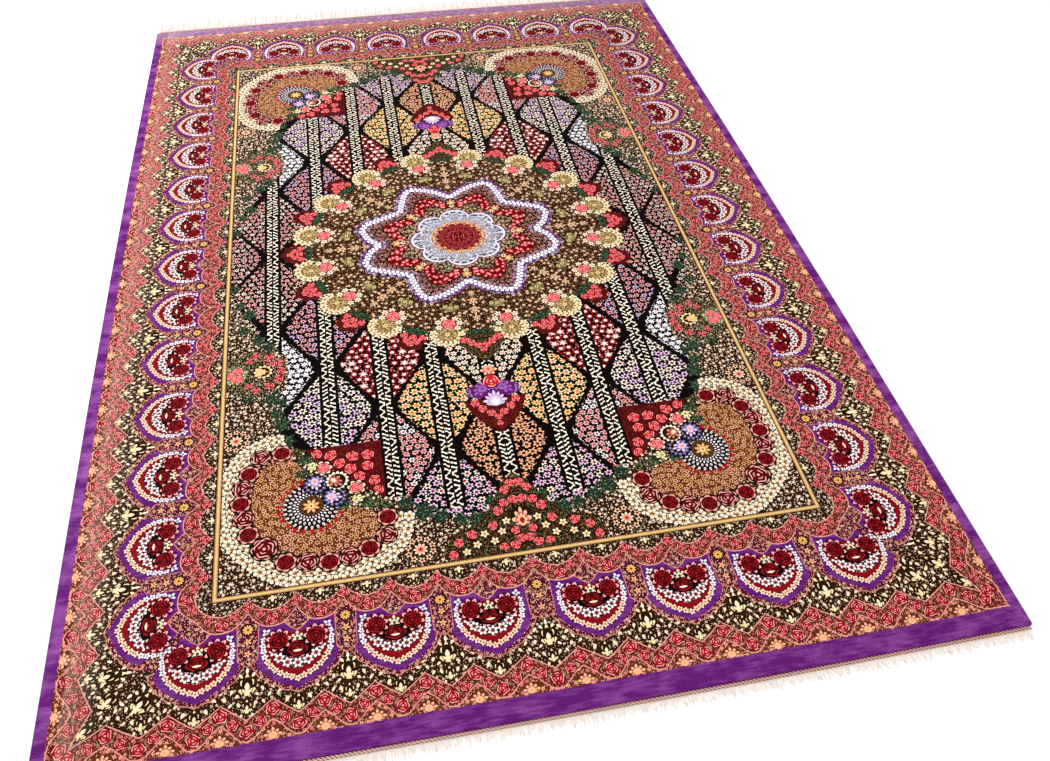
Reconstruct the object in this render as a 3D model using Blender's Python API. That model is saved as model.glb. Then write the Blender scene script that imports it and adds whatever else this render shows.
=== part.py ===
"""A large hand-knotted silk rug lying flat: one thin slab of pile on its woven foundation, and at each end a
narrow flat-woven strip whose warp ends run on as a fringe.

Metres, +Z up. The origin is at the middle of the underside, +Y runs along the rug towards its far end, and
the underside lies at Z = 0.
"""

from dataclasses import dataclass
from math import cos, pi, sin

import bmesh
import bpy

# ---------------------------------------------------------------- driving dimensions
RUG_WIDTH = 2.000  # corner to corner across the pile
RUG_LENGTH = 3.000  # corner to corner along the pile
RUG_THICKNESS = 0.0045  # foundation and clipped pile together
SIDE_BELLY = 0.010  # each long side stands this far out at its middle
END_BELLY = 0.008  # and each end this far
CORNER_RADIUS = 0.007
PILE_EDGE_ROUNDING = 0.0012  # the clipped pile rolls over this much at its rim

SIDE_STEPS = 20  # straight lengths along each long side
END_STEPS = 20  # straight lengths along each end
CORNER_STEPS = 4  # straight lengths round each corner

PARTING = 0.0003  # between the pile's end and the flat-woven strip
STRIP_WIDTH = 0.008  # flat-woven end with its twined line
STRIP_THICKNESS = 0.0022

STRANDS_PER_END = 150
STRAND_THICKNESS = 0.0016
STRAND_TIP_THICKNESS = 0.0010
ROOT_SHARE = 0.62  # of the pitch that a strand fills at its root
TIP_SHARE = 0.30  # and at its tip
SWAY = 0.0022  # how far a tip may lean to one side
LENGTH_SPREAD = 0.07  # share by which strands differ in length
GOLDEN_TURN = 2.39996  # a step in phase that never repeats along the row
END_INSET = 0.006  # the strip stops this far inside the rug's corners


@dataclass(frozen=True)
class FringeEnd:
    """One end of the rug: its name, the way it faces along Y, its strands' length and their steps."""

    name: str
    facing: int
    strand_length: float
    strand_steps: int


FRINGES = (
    FringeEnd("fringe_near", facing=-1, strand_length=0.024, strand_steps=1),
    FringeEnd("fringe_far", facing=+1, strand_length=0.086, strand_steps=2),
)

PILE_COLOUR = (0.300, 0.085, 0.105, 1.0)
FRINGE_COLOUR = (0.830, 0.770, 0.680, 1.0)
PILE_ROUGHNESS = 0.62
FRINGE_ROUGHNESS = 0.55


# ---------------------------------------------------------------- helpers
def clear_scene():
    """Takes out whatever the scene holds."""
    for thing in list(bpy.data.objects):
        bpy.data.objects.remove(thing)


def cloth_material(name, colour, roughness):
    """A plain, non-metallic finish of one colour."""
    material = bpy.data.materials.new(name)
    material.use_nodes = True
    shader = material.node_tree.nodes["Principled BSDF"]
    shader.inputs["Base Color"].default_value = colour
    shader.inputs["Roughness"].default_value = roughness
    shader.inputs["Metallic"].default_value = 0.0
    return material


def object_from(bm, name, material):
    """Closes off a bmesh as a named object with its faces pointing out."""
    bmesh.ops.recalc_face_normals(bm, faces=bm.faces)
    mesh = bpy.data.meshes.new(name)
    bm.to_mesh(mesh)
    bm.free()
    mesh.materials.append(material)
    thing = bpy.data.objects.new(name, mesh)
    bpy.context.scene.collection.objects.link(thing)
    return thing


def side_x(y):
    """Half the pile's width at a place along its length."""
    return RUG_WIDTH / 2 + SIDE_BELLY * (1 - (2 * y / RUG_LENGTH) ** 2)


def end_y(x):
    """Half the pile's length at a place across its width."""
    return RUG_LENGTH / 2 + END_BELLY * (1 - (2 * x / RUG_WIDTH) ** 2)


# ---------------------------------------------------------------- pile and foundation
def rug_outline():
    """The slab's outline, anticlockwise from its near right corner: a side, a corner, an end, and so on."""
    reach_x = RUG_WIDTH / 2 - CORNER_RADIUS
    reach_y = RUG_LENGTH / 2 - CORNER_RADIUS
    points = []
    for quarter in range(4):
        along_side = quarter % 2 == 0
        steps = SIDE_STEPS if along_side else END_STEPS
        sign = 1 if quarter in (0, 3) else -1
        for step in range(steps + 1):
            share = 2 * step / steps - 1
            if along_side:
                y = sign * share * reach_y
                points.append((sign * side_x(y), y))
            else:
                x = sign * share * reach_x
                points.append((x, -sign * end_y(x)))
        centre_x = reach_x * (1 if quarter in (0, 3) else -1)
        centre_y = reach_y * (1 if quarter in (0, 1) else -1)
        for step in range(1, CORNER_STEPS):
            angle = (quarter + step / CORNER_STEPS) * pi / 2
            points.append((centre_x + CORNER_RADIUS * cos(angle), centre_y + CORNER_RADIUS * sin(angle)))
    return points


def build_rug_body(material):
    """The slab: a flat underside, upright edges, and the pile's rim rolled over."""
    bm = bmesh.new()
    bottom = bm.faces.new([bm.verts.new((x, y, 0.0)) for x, y in rug_outline()])
    raised = bmesh.ops.extrude_face_region(bm, geom=[bottom], use_keep_orig=True)
    top_face = next(item for item in raised["geom"] if isinstance(item, bmesh.types.BMFace))
    for vert in top_face.verts:
        vert.co.z = RUG_THICKNESS - PILE_EDGE_ROUNDING
    bmesh.ops.recalc_face_normals(bm, faces=bm.faces)
    bmesh.ops.inset_region(bm, faces=[top_face], thickness=PILE_EDGE_ROUNDING)
    for vert in top_face.verts:
        vert.co.z = RUG_THICKNESS
    return object_from(bm, "rug_body", material)


# ---------------------------------------------------------------- fringes
def strand_rows(end, index, left, right):
    """The strand's edge places from root to tip, as (left x, right x, reach, thickness) in each row."""
    phase = index * GOLDEN_TURN
    length = end.strand_length * (1 + LENGTH_SPREAD * sin(1.7 * phase))
    middle = (left + right) / 2
    pitch = (right - left) / ROOT_SHARE
    rows = []
    for step in range(end.strand_steps + 1):
        share = step / end.strand_steps
        half = pitch * (ROOT_SHARE + (TIP_SHARE - ROOT_SHARE) * share) / 2
        centre = middle + SWAY * sin(phase) * share**2
        thickness = STRAND_THICKNESS + (STRAND_TIP_THICKNESS - STRAND_THICKNESS) * share
        rows.append((centre - half, centre + half, length * share, thickness))
    return rows


def build_fringe(end, material):
    """A flat-woven strip along one end with its strands fused to its outer edge, all resting on Z = 0."""
    half_width = RUG_WIDTH / 2 - END_INSET
    pitch = 2 * half_width / STRANDS_PER_END
    bm = bmesh.new()
    sheet = []

    def corner(x, reach, thickness):
        """A point of the upper surface, by its distance out from the pile's end."""
        out = end_y(x) + PARTING + reach
        return bm.verts.new((x, end.facing * out, thickness))

    def strip_pair(x):
        """The strip's inner and outer edge at x."""
        return corner(x, 0.0, STRIP_THICKNESS), corner(x, STRIP_WIDTH, STRAND_THICKNESS)

    def panel(*verts):
        """One face of the upper surface."""
        sheet.append(bm.faces.new(verts))

    before = strip_pair(-half_width)
    for index in range(STRANDS_PER_END):
        cell_left = -half_width + index * pitch
        margin = pitch * (1 - ROOT_SHARE) / 2
        left, right = cell_left + margin, cell_left + pitch - margin
        at_left, at_right = strip_pair(left), strip_pair(right)
        panel(before[0], before[1], at_left[1], at_left[0])
        panel(at_left[0], at_left[1], at_right[1], at_right[0])
        edge = (at_left[1], at_right[1])
        for row in strand_rows(end, index, left, right)[1:]:
            row_left, row_right, reach, thickness = row
            nxt = (
                corner(row_left, STRIP_WIDTH + reach, thickness),
                corner(row_right, STRIP_WIDTH + reach, thickness),
            )
            panel(edge[0], nxt[0], nxt[1], edge[1])
            edge = nxt
        before = at_right
    last = strip_pair(half_width)
    panel(before[0], before[1], last[1], last[0])

    lower = bmesh.ops.extrude_face_region(bm, geom=sheet, use_keep_orig=True)
    for item in lower["geom"]:
        if isinstance(item, bmesh.types.BMVert):
            item.co.z = 0.0
    return object_from(bm, end.name, material)


# ---------------------------------------------------------------- the rug
def main():
    """Builds the slab and the two fringed ends."""
    clear_scene()
    pile = cloth_material("silk_pile", PILE_COLOUR, PILE_ROUGHNESS)
    fringe = cloth_material("silk_fringe", FRINGE_COLOUR, FRINGE_ROUGHNESS)
    build_rug_body(pile)
    for end in FRINGES:
        build_fringe(end, fringe)


main()
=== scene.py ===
"""The looks of a hand-knotted silk rug: medallion, corner roundels, flower trellis and an arched border.

Metres, +Z up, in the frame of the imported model: the origin is at the middle of the underside and +Y runs
towards the far end. The design is drawn once, for one quarter of the rug, as patches laid over each other on
a cartoon. The cartoon is cut into triangles that each know their motif, and is turned over both middle lines.
"""

import logging
import random
from dataclasses import dataclass, field
from enum import Enum
from math import atan2, ceil, cos, hypot, pi, radians, sin
from typing import Iterable

import bpy
import numpy as np
from mathutils import Matrix, Vector
from mathutils.geometry import delaunay_2d_cdt


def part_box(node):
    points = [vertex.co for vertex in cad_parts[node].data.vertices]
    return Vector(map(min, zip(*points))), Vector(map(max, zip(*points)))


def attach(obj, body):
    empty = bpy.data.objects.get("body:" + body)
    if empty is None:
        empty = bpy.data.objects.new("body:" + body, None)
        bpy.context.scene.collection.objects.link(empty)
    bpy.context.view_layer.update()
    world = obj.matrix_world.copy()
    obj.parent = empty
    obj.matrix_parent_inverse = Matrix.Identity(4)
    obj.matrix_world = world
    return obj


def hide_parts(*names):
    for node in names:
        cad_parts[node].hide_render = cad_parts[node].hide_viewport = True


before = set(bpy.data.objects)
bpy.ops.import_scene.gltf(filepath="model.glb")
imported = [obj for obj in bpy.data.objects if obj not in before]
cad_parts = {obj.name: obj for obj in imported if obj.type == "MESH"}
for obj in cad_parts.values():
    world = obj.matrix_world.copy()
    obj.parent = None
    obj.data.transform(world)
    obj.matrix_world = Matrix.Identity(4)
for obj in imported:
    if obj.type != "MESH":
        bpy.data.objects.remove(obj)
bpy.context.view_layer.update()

LOG = logging.getLogger("silk_rug")
BODY = "root"
GOLDEN_SHARE = 0.618034  # steps of this share never line up
FULL_TURN = 2 * pi
CUT_TOLERANCE = 1e-6  # points of the cartoon nearer than this are one
BOTH_SIDES = (-1, 1)

Point = tuple[float, float]
Triple = tuple[float, float, float]
Path = list[Point]
Form = tuple[float, float, float, float]
Face = tuple[int, ...]
NO_FORM: Form = (0.0, 0.0, 0.0, 0.0)  # for a stitch that reads no numbers


# ================================================================ colours and named options
class Dye(Enum):
    """The silk's colours as display values, 0 to 255."""

    BLACK = (9, 4, 3)
    SOOT = (30, 14, 8)
    BROWN = (46, 22, 9)
    EARTH = (50, 26, 11)
    UMBER = (96, 62, 34)
    SIENNA = (96, 42, 22)
    TAN = (176, 124, 84)
    OCHRE = (228, 172, 114)
    AMBER = (238, 158, 66)
    GOLD = (220, 186, 118)
    STRAW = (248, 212, 140)
    BUFF = (246, 224, 168)
    CREAM = (250, 224, 190)
    FAWN = (228, 186, 148)
    IVORY = (255, 240, 218)
    WHITE = (252, 244, 246)
    SILVER = (206, 204, 212)
    LILAC = (226, 196, 228)
    SKY = (160, 160, 196)
    IRIS = (98, 84, 136)
    VIOLET = (92, 25, 106)
    LAVENDER = (164, 92, 172)
    PLUM = (84, 14, 44)
    MAROON = (86, 5, 12)
    WINE = (130, 10, 20)
    CRIMSON = (168, 18, 32)
    SCARLET = (212, 34, 44)
    CORAL = (236, 92, 94)
    BLUSH = (250, 172, 168)
    PINK = (230, 150, 138)
    ORANGE = (226, 106, 70)
    ROSE = (212, 128, 112)
    CLAY = (160, 78, 70)
    RUST = (92, 32, 26)
    PEACH = (250, 184, 144)
    FERN = (62, 92, 68)
    MOSS = (132, 136, 84)
    FOREST = (22, 38, 29)

    @property
    def linear(self) -> Form:
        """The colour on the scene's linear scale, by the display curve's two parts.

        Returns:
            Red, green, blue and alpha.
        """
        shares = [channel / 255 for channel in self.value]
        parts = [share / 12.92 if share <= 0.04045 else ((share + 0.055) / 1.055) ** 2.4 for share in shares]
        return (*parts, 1.0)


class Stitch(Enum):
    """How a patch is filled, in the order of the pile's materials."""

    PLAIN = 0
    # violet pile with pale strokes, partly painted sheen
    BRUSHED = 1
    FLORETS = 2
    ROWS = 3
    LEAVES = 4
    BLOSSOM = 5
    ROSE = 6
    FAN = 7


Dyes = tuple[Dye, Dye, Dye]


# ================================================================ outlines
def oval(x: float, y: float, rx: float, ry: float = 0.0, turn: float = 0.0, sides: int = 10) -> Path:
    """An ellipse's outline.

    Args:
        x, y: Its middle.
        rx, ry: Its half sizes; ry is rx where it is left out.
        turn: How far it is turned, anticlockwise.
        sides: How many straight sides it has.

    Returns:
        The outline's points.
    """
    ry = ry or rx
    lean, rise = sin(turn), cos(turn)
    points = []
    for side in range(sides):
        angle = FULL_TURN * side / sides
        along, across = rx * cos(angle), ry * sin(angle)
        points.append((x + along * rise - across * lean, y + along * lean + across * rise))
    return points


def lobed(
    x: float, y: float, radius: float, lobes: int, depth: float, turn: float = 0.0, squash: float = 1.0
) -> Path:
    """A round outline with lobes.

    Args:
        x, y: Its middle.
        radius: How far the lobes reach.
        lobes: How many there are.
        depth: Share of the radius between a lobe and a notch.
        turn: Direction of the first lobe.
        squash: The outline's size along Y as a share of that along X.

    Returns:
        The outline's points, four to a lobe.
    """
    points = []
    for step in range(lobes * 4):
        angle = turn + FULL_TURN * step / (lobes * 4)
        reach = radius * (1 - depth * abs(sin(lobes * (angle - turn) / 2)) ** 1.6)
        points.append((x + reach * cos(angle), y + squash * reach * sin(angle)))
    return points


def drop(x: float, y: float, length: float, turn: float, width: float = 0.45) -> Path:
    """A bud's outline, round at its foot and pointed at its tip.

    Args:
        x, y: Its middle.
        length: From foot to tip.
        turn: Where the tip points, clockwise from +Y.
        width: Its width as a share of its length.

    Returns:
        The outline's points.
    """
    profile = ((0.5, 0.0), (0.12, 0.42), (-0.2, 0.5), (-0.42, 0.3), (-0.5, 0.0))
    half = [(v * length, u * width * length) for v, u in profile]
    both = half + [(v, -u) for v, u in reversed(half[1:-1])]
    return [(x + v * sin(turn) + u * cos(turn), y + v * cos(turn) - u * sin(turn)) for v, u in both]


def turning(path: Path) -> float:
    """Twice the area inside an outline, negative where the outline runs clockwise."""
    return sum(x0 * y1 - x1 * y0 for (x0, y0), (x1, y1) in zip(path, path[1:] + path[:1]))


def grown(path: Path, amount: float) -> Path:
    """An outline moved outwards.

    Args:
        path: The outline's points.
        amount: How far it moves, or how far inwards where that is negative.

    Returns:
        The moved outline's points.
    """
    points = np.array(path)
    ahead = np.roll(points, -1, axis=0) - points
    turned = np.stack([ahead[:, 1], -ahead[:, 0]], axis=1) / np.linalg.norm(ahead, axis=1)[:, None]
    normals = turned + np.roll(turned, 1, axis=0)
    normals /= np.maximum(np.sum(normals**2, axis=1) / 2, 0.6)[:, None]
    return [tuple(point) for point in points + normals * (amount if turning(path) > 0 else -amount)]


def scalloped(path: Path, bulge: float, count: int) -> Path:
    """An open line with a row of scallops along it, standing out to its left.

    Args:
        path: The line's points.
        bulge: How far a scallop stands out.
        count: How many scallops lie along the whole line.

    Returns:
        The scalloped line's points.
    """
    points = []
    for x, y, angle, share in walk(path, 4 * count + 1):
        out = bulge * abs(sin(pi * share * count))
        points.append((x - out * sin(angle), y + out * cos(angle)))
    return points


def walk(path: Path, count: int) -> list[Form]:
    """Evenly spaced places along a line.

    Args:
        path: The line's points.
        count: How many places there are, with both ends.

    Returns:
        Each place's x and y, the line's direction there, and the share of the line's length.
    """
    points = np.array(path)
    steps = np.linalg.norm(np.diff(points, axis=0), axis=1)
    reached = np.concatenate([[0.0], np.cumsum(steps)])
    places = []
    for share in np.linspace(0, 1, count):
        at = share * reached[-1]
        index = min(int(np.searchsorted(reached, at, side="right")) - 1, len(steps) - 1)
        way = points[index + 1] - points[index]
        x, y = points[index] + (at - reached[index]) / steps[index] * way
        places.append((float(x), float(y), atan2(way[1], way[0]), float(share)))
    return places


def beside(points: np.ndarray, offset: float) -> np.ndarray:
    """An open line's points moved aside, to its left by an offset, or to its right where that is negative."""
    way = np.gradient(points, axis=0)
    return points + np.stack([-way[:, 1], way[:, 0]], axis=1) / np.linalg.norm(way, axis=1)[:, None] * offset


def band(path: Path, width: float) -> Path:
    """The outline of a line of some width.

    Args:
        path: The line's points.
        width: How wide it is.

    Returns:
        The outline's points.
    """
    points = np.array(path)
    outline = np.concatenate([beside(points, width / 2), beside(points, -width / 2)[::-1]])
    return [tuple(point) for point in outline]


# ================================================================ the cartoon
@dataclass(frozen=True)
class Filling:
    """How an area is woven: its ground, its inks, its stitch and the stitch's numbers."""

    ground: Dye
    inks: tuple[Dye, ...] = ()
    stitch: Stitch = Stitch.PLAIN
    form: Form = NO_FORM


def florets(
    ground: Dye,
    inks: Dyes,
    size: float,
    share: float = 0.3,
    slips: float = 0.24,
    radius: float = 0.34,
    stitch: Stitch = Stitch.FLORETS,
) -> Filling:
    """A flowered filling.

    Args:
        ground: The colour under the flowers.
        inks: The colours of the petals, of their hearts and of the other flowers.
        size: How far apart the flowers lie.
        share: How many of them are of the other colour.
        slips: Size of the leaves between them.
        radius: The flowers' radius, both as shares of size.
        stitch: Scattered florets, or rows.

    Returns:
        The filling.
    """
    return Filling(ground, inks, stitch, (size, share, slips, radius))


@dataclass(frozen=True)
class Patch:
    """A region with a ground of its own, or a motif that shows the region under it."""

    outline: Path
    stitch: Stitch
    inks: Dyes
    ground: Dye | None = None
    centre: Point = (0.0, 0.0)
    turn: float = 0.0
    reach: Point = (1.0, 1.0)
    form: Form = NO_FORM
    seed: float = 0.0


@dataclass
class Cut:
    """The cut cartoon: its points and triangles, and each triangle's topmost patch and topmost region."""

    points: np.ndarray
    triangles: np.ndarray
    top: np.ndarray
    region: np.ndarray


@dataclass
class Cartoon:
    """The design of one quarter, drawn from the bottom layer upwards, with X and Y from the rug's middle."""

    patches: list[Patch] = field(default_factory=list)
    seams: list[tuple[Point, Point]] = field(default_factory=list)

    def cut(self) -> Cut:
        """Cuts every outline through every other, and finds what lies on top in each triangle.

        Returns:
            The triangles of the quarter.
        """
        corners, faces = [], []
        for patch in self.patches:
            outline = patch.outline if turning(patch.outline) > 0 else patch.outline[::-1]
            faces.append(list(range(len(corners), len(corners) + len(outline))))
            corners.extend(Vector(point) for point in outline)
        edges = [(len(corners) + 2 * index, len(corners) + 2 * index + 1) for index in range(len(self.seams))]
        corners.extend(Vector(end) for seam in self.seams for end in seam)
        made = delaunay_2d_cdt(corners, edges, faces, 0, CUT_TOLERANCE, True)
        kept = [(face, owners) for face, owners in zip(made[2], made[5]) if 0 in owners]
        is_region = [patch.ground is not None for patch in self.patches]
        points = np.array([tuple(point) for point in made[0]])
        points[np.abs(points) < 2 * CUT_TOLERANCE] = 0.0
        return Cut(
            points=points,
            triangles=np.array([face for face, _ in kept]),
            top=np.array([max(owners) for _, owners in kept]),
            region=np.array([max(owner for owner in owners if is_region[owner]) for _, owners in kept]),
        )


@dataclass
class Drawing:
    """A part of the design, with the motifs that it lays on the cartoon."""

    cartoon: Cartoon

    def lay(self, outline: Path, stitch: Stitch, inks: Dyes, **rest: object) -> None:
        """Lays a patch with a seed of its own."""
        seed = len(self.cartoon.patches) * GOLDEN_SHARE % 1.0
        self.cartoon.patches.append(Patch(outline, stitch, inks, seed=seed, **rest))

    def region(
        self, outline: Path, look: Filling | Dye, centre: Point = (0.0, 0.0), reach: Point = (1.0, 1.0)
    ) -> None:
        """Lays an area with a ground of its own.

        Args:
            outline: The area's outline.
            look: Its filling, or its one colour.
            centre, reach: The middle and the size of a repeat, where the stitch reads them.
        """
        filling = look if isinstance(look, Filling) else Filling(look)
        inks = (*filling.inks, *([filling.ground] * 3))[:3]
        area = {"ground": filling.ground, "centre": centre, "reach": reach, "form": filling.form}
        self.lay(outline, filling.stitch, inks, **area)

    def motif(
        self, stitch: Stitch, place: Point, reach: Point, dyes: Dyes, turn: float = 0.0, form: Form = NO_FORM
    ) -> None:
        """Lays one flower, rose or palmette.

        Args:
            stitch: Which of them.
            place: Its middle.
            reach: Its half sizes.
            dyes: Its three inks.
            turn: Where its top points, clockwise from +Y.
            form: The numbers that the stitch reads.
        """
        outline = oval(*place, *reach, -turn, 8 if max(reach) < 0.008 else 12)
        self.lay(outline, stitch, dyes, centre=place, turn=turn, reach=reach, form=form)

    def blossom(
        self,
        place: Point,
        radius: float,
        dyes: Dyes,
        petals: int = 5,
        notch: float = 0.35,
        core: float = 0.34,
    ) -> None:
        """Lays an open flower of petals, heart and edge."""
        self.motif(Stitch.BLOSSOM, place, (radius, radius), dyes, 0.0, (petals, notch, core, 0.0))

    def rose(self, place: Point, radius: float, dyes: Dyes) -> None:
        """Lays a full rose of deep petals with pale edges round a core."""
        self.motif(Stitch.ROSE, place, (radius, radius), dyes)

    def roses(self, table: Iterable[tuple[float, float, float]], dyes: Dyes) -> None:
        """Lays a rose for each x, y and radius in a table."""
        for x, y, radius in table:
            self.rose((x, y), radius, dyes)

    def fan(
        self,
        place: Point,
        width: float,
        height: float,
        turn: float,
        dyes: Dyes,
        rays: int = 9,
        heart: float = 0.22,
    ) -> None:
        """Lays a palmette of body, heart and lines whose crown points along turn."""
        self.motif(Stitch.FAN, place, (width / 2, height / 2), dyes, turn, (rays, 0.24, heart, 0.0))

    def palmette(self, place: Point, size: float, turn: float) -> None:
        """Lays a cream palmette: pale rays round a dark field with a pale heart."""
        self.fan(place, size, size * 1.25, turn, (Dye.BUFF, Dye.BUFF, Dye.SOOT), 7)
        self.fan(place, size * 0.56, size * 0.72, turn, (Dye.SOOT, Dye.CREAM, Dye.BROWN), 7, 0.42)

    def bud(self, place: Point, length: float, turn: float, dye: Dye, width: float = 0.45) -> None:
        """Lays a plain bud or leaf. Plain pile reads no seed, so it has none."""
        outline = drop(*place, length, turn, width)
        self.cartoon.patches.append(Patch(outline, Stitch.PLAIN, (dye, dye, dye), centre=place))


# ================================================================ the border
RED_ROSE = (Dye.CRIMSON, Dye.BLUSH, Dye.MAROON)
DEEP_ROSE = (Dye.MAROON, Dye.CRIMSON, Dye.BLACK)
SCARLET_ROSE = (Dye.SCARLET, Dye.BLUSH, Dye.MAROON)
PINK_ROSE = (Dye.CORAL, Dye.BLUSH, Dye.WINE)
PALE_ROSE = (Dye.MAROON, Dye.BLUSH, Dye.MAROON)
HEART_ROSE = (Dye.MAROON, Dye.CORAL, Dye.BLACK)
WHITE_DAISY = (Dye.WHITE, Dye.CLAY, Dye.WHITE)
BROWN_GARDEN = florets(Dye.BROWN, (Dye.CREAM, Dye.TAN, Dye.CREAM), 0.0155, 0.3, 0.165, 0.18)
DARK_GARDEN = florets(Dye.BROWN, (Dye.IVORY, Dye.TAN, Dye.CREAM), 0.0145, 0.3, 0.20, 0.22)
PLUM_GARDEN = florets(Dye.PLUM, (Dye.PEACH, Dye.CRIMSON, Dye.CREAM), 0.0120, 0.3, 0.24, 0.28)
ROSE_GARDEN = florets(Dye.RUST, (Dye.ROSE, Dye.CRIMSON, Dye.PEACH), 0.0110, 0.25, 0.26, 0.30)
PEACH_GARDEN = florets(Dye.SIENNA, (Dye.PEACH, Dye.CORAL, Dye.ROSE), 0.0120, 0.35, 0.32, 0.36)
WHITE_GARDEN = florets(Dye.MAROON, (Dye.WHITE, Dye.CORAL, Dye.BLUSH), 0.0110, 0.3, 0.25, 0.36)
# Violet pile with pale strokes, partly streaky yarn and partly painted sheen, by the strokes' strength.
VIOLET_PILE, EDGE_PILE, SIDE_PILE = (
    Filling(Dye.VIOLET, (Dye.LAVENDER,), Stitch.BRUSHED, (strength, 0.0, 0.0, 0.0))
    for strength in (0.24, 0.42, 0.75)
)


@dataclass
class BorderSide(Drawing):
    """One side of the quarter's border. Places on it are a distance along it and a depth out from the guard.

    Attributes:
        along_x: Whether it runs along X, as an end does, or along Y, as a long side does.
        guard, depth_scale: Where the guard lies, and the depths' scale.
        other_guard, other_scale: The same for the side that it meets at the corner.
        arches: The middles of its arches.
        gaps: The middles of the spaces between them.
        depth: How deep the patterned border is.
        line: The width of the pink lines along the ribbons.
        arch_half, arch_foot, arch_top: Half an arch's width, and the depths of its foot and its top.
        inner_stop, outer_stop: The depths at which the two ribbons meet those round the corner.
    """

    along_x: bool
    guard: float
    depth_scale: float
    other_guard: float
    other_scale: float
    arches: tuple[float, ...]
    gaps: tuple[float, ...]
    depth: float = 0.318
    line: float = 0.0026
    arch_half: float = 0.0845
    arch_foot: float = 0.045
    arch_top: float = 0.225
    inner_stop: float = 0.040
    outer_stop: float = 0.2725

    @property
    def outward(self) -> float:
        """The way out of the rug, clockwise from +Y."""
        return 0.0 if self.along_x else pi / 2

    @property
    def inward(self) -> float:
        """The way to the rug's middle, clockwise from +Y."""
        return self.outward + pi

    def at(self, along: float, depth: float) -> Point:
        """The place on the rug."""
        out = self.guard + depth * self.depth_scale
        return (along, out) if self.along_x else (out, along)

    def lean(self, side: int, amount: float) -> float:
        """The way out, leant towards one side of a motif."""
        return self.outward + (side if self.along_x else -side) * amount

    def mitre(self, depth: float) -> float:
        """How far along the side its mitre lies at a depth."""
        return self.other_guard + depth * self.other_scale

    def stops(self, depth: float, clear: float = 0.035) -> list[float]:
        """The arches and gaps short of the mitre, and the mitre itself."""
        corner = self.mitre(depth)
        return [stop for stop in sorted({*self.arches, *self.gaps}) if stop < corner - clear] + [corner]

    def shape(self, middle: float, half: Path) -> Path:
        """A symmetrical outline, kept off the mitre, from its right half in order from the inner end."""
        whole = half + [(-s, d) for s, d in reversed(half) if s > 1e-9]
        return [self.at(min(middle + s, self.mitre(d) - 0.001), d) for s, d in whole]

    def edge(self, low: float, high: float, rise: Path, corner: float) -> Path:
        """A repeating edge that runs from the middle line to the mitre.

        Args:
            low: Its depth at each arch and gap.
            high: Its depth half-way between them.
            rise: Pairs of the share of the way to the half-way place, and the share of the rise there.
            corner: The depth whose place on the mitre is the last stop.

        Returns:
            The edge's points, as distances along and depths.
        """
        stops, points = self.stops(corner), []
        for start, end in zip(stops, stops[1:]):
            span, climb = end - start, high - low
            there = [(start + span * share / 2, low + climb * part) for share, part in rise]
            back = [(end - span * share / 2, low + climb * part) for share, part in rise[-2:0:-1]]
            points += there + back
        points += [(stops[-1], low), (stops[-1] + 0.2, low)]
        kept = [points[0]]
        for before, after in zip(points, points[1:]):
            short, past = (self.mitre(d) - s for s, d in (before, after))
            if past < 0:
                part = short / (short - past)
                kept.append(tuple(a + (b - a) * part for a, b in zip(before, after)))
                break
            kept.append(after)
        return kept

    def bounded(self, edge: Path, depth: float, shift: float = 0.0) -> Path:
        """The area between an edge, moved out by a shift, and a depth."""
        moved = [(s, d + shift) for s, d in edge]
        return [self.at(s, d) for s, d in [*moved, (self.mitre(depth), depth), (0.0, depth)]]

    def ribbon(self, edge: Path, depth: float, filling: Filling) -> None:
        """Lays the area between an edge and a depth, with a pink line along the edge.

        Args:
            edge: The edge, as distances along and depths.
            depth: The depth.
            filling: The area's filling.
        """
        away = self.line / 2 if depth > edge[0][1] else -self.line / 2
        self.region(self.bounded(edge, depth, -away), Dye.PINK)
        self.region(self.bounded(edge, depth, away), filling)

    def draw_ground(self) -> None:
        """Lays the brown ground of the whole side."""
        self.region(self.bounded([(0.0, 0.0), (self.mitre(0.0), 0.0)], self.depth), BROWN_GARDEN)

    def draw_diamonds(self) -> None:
        """Sets the cream palmettes and buds between and under the arches."""
        for place in self.gaps:
            self.palmette(self.at(place, 0.198), 0.040, self.inward)
            self.palmette(self.at(place, 0.244), 0.024, self.inward)
            self.bud(self.at(place, 0.170), 0.013, self.inward, Dye.IVORY)
            for side in BOTH_SIDES:
                for along, deep, length, lean in DIAMOND_BUDS:
                    middle = self.at(place + side * along, deep)
                    self.bud(middle, length, self.lean(side, lean), Dye.CREAM, 0.55)
        for place in self.arches:
            self.palmette(self.at(place, 0.250), 0.027, self.inward)
            for side in BOTH_SIDES:
                self.bud(self.at(place + side * 0.022, 0.243), 0.013, self.lean(side, 0.5), Dye.CREAM, 0.55)

    def draw_columns(self) -> None:
        """Draws the plum columns between the arches, each with its gold rosette and florets."""
        for place in self.gaps[:-1]:
            half = max(0.0195, min(abs(place - arch) for arch in self.arches) - self.arch_half)
            sides = [(half + 0.002, 0.068), (half, 0.148), (half * 0.6, 0.155)]
            outline = self.shape(place, [(0.0, 0.040), (0.034, 0.044), *sides, (0.0, 0.162)])
            self.region(grown(outline, 0.0014), Dye.ROSE)
            self.region(outline, PLUM_GARDEN)
            self.blossom(self.at(place, 0.081), 0.0150, (Dye.GOLD, Dye.AMBER, Dye.MAROON), 10, 0.22, 0.40)
            for deep in (0.108, 0.135):
                self.blossom(self.at(place, deep), 0.0088, (Dye.PEACH, Dye.AMBER, Dye.PEACH), 5, 0.5)

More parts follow.
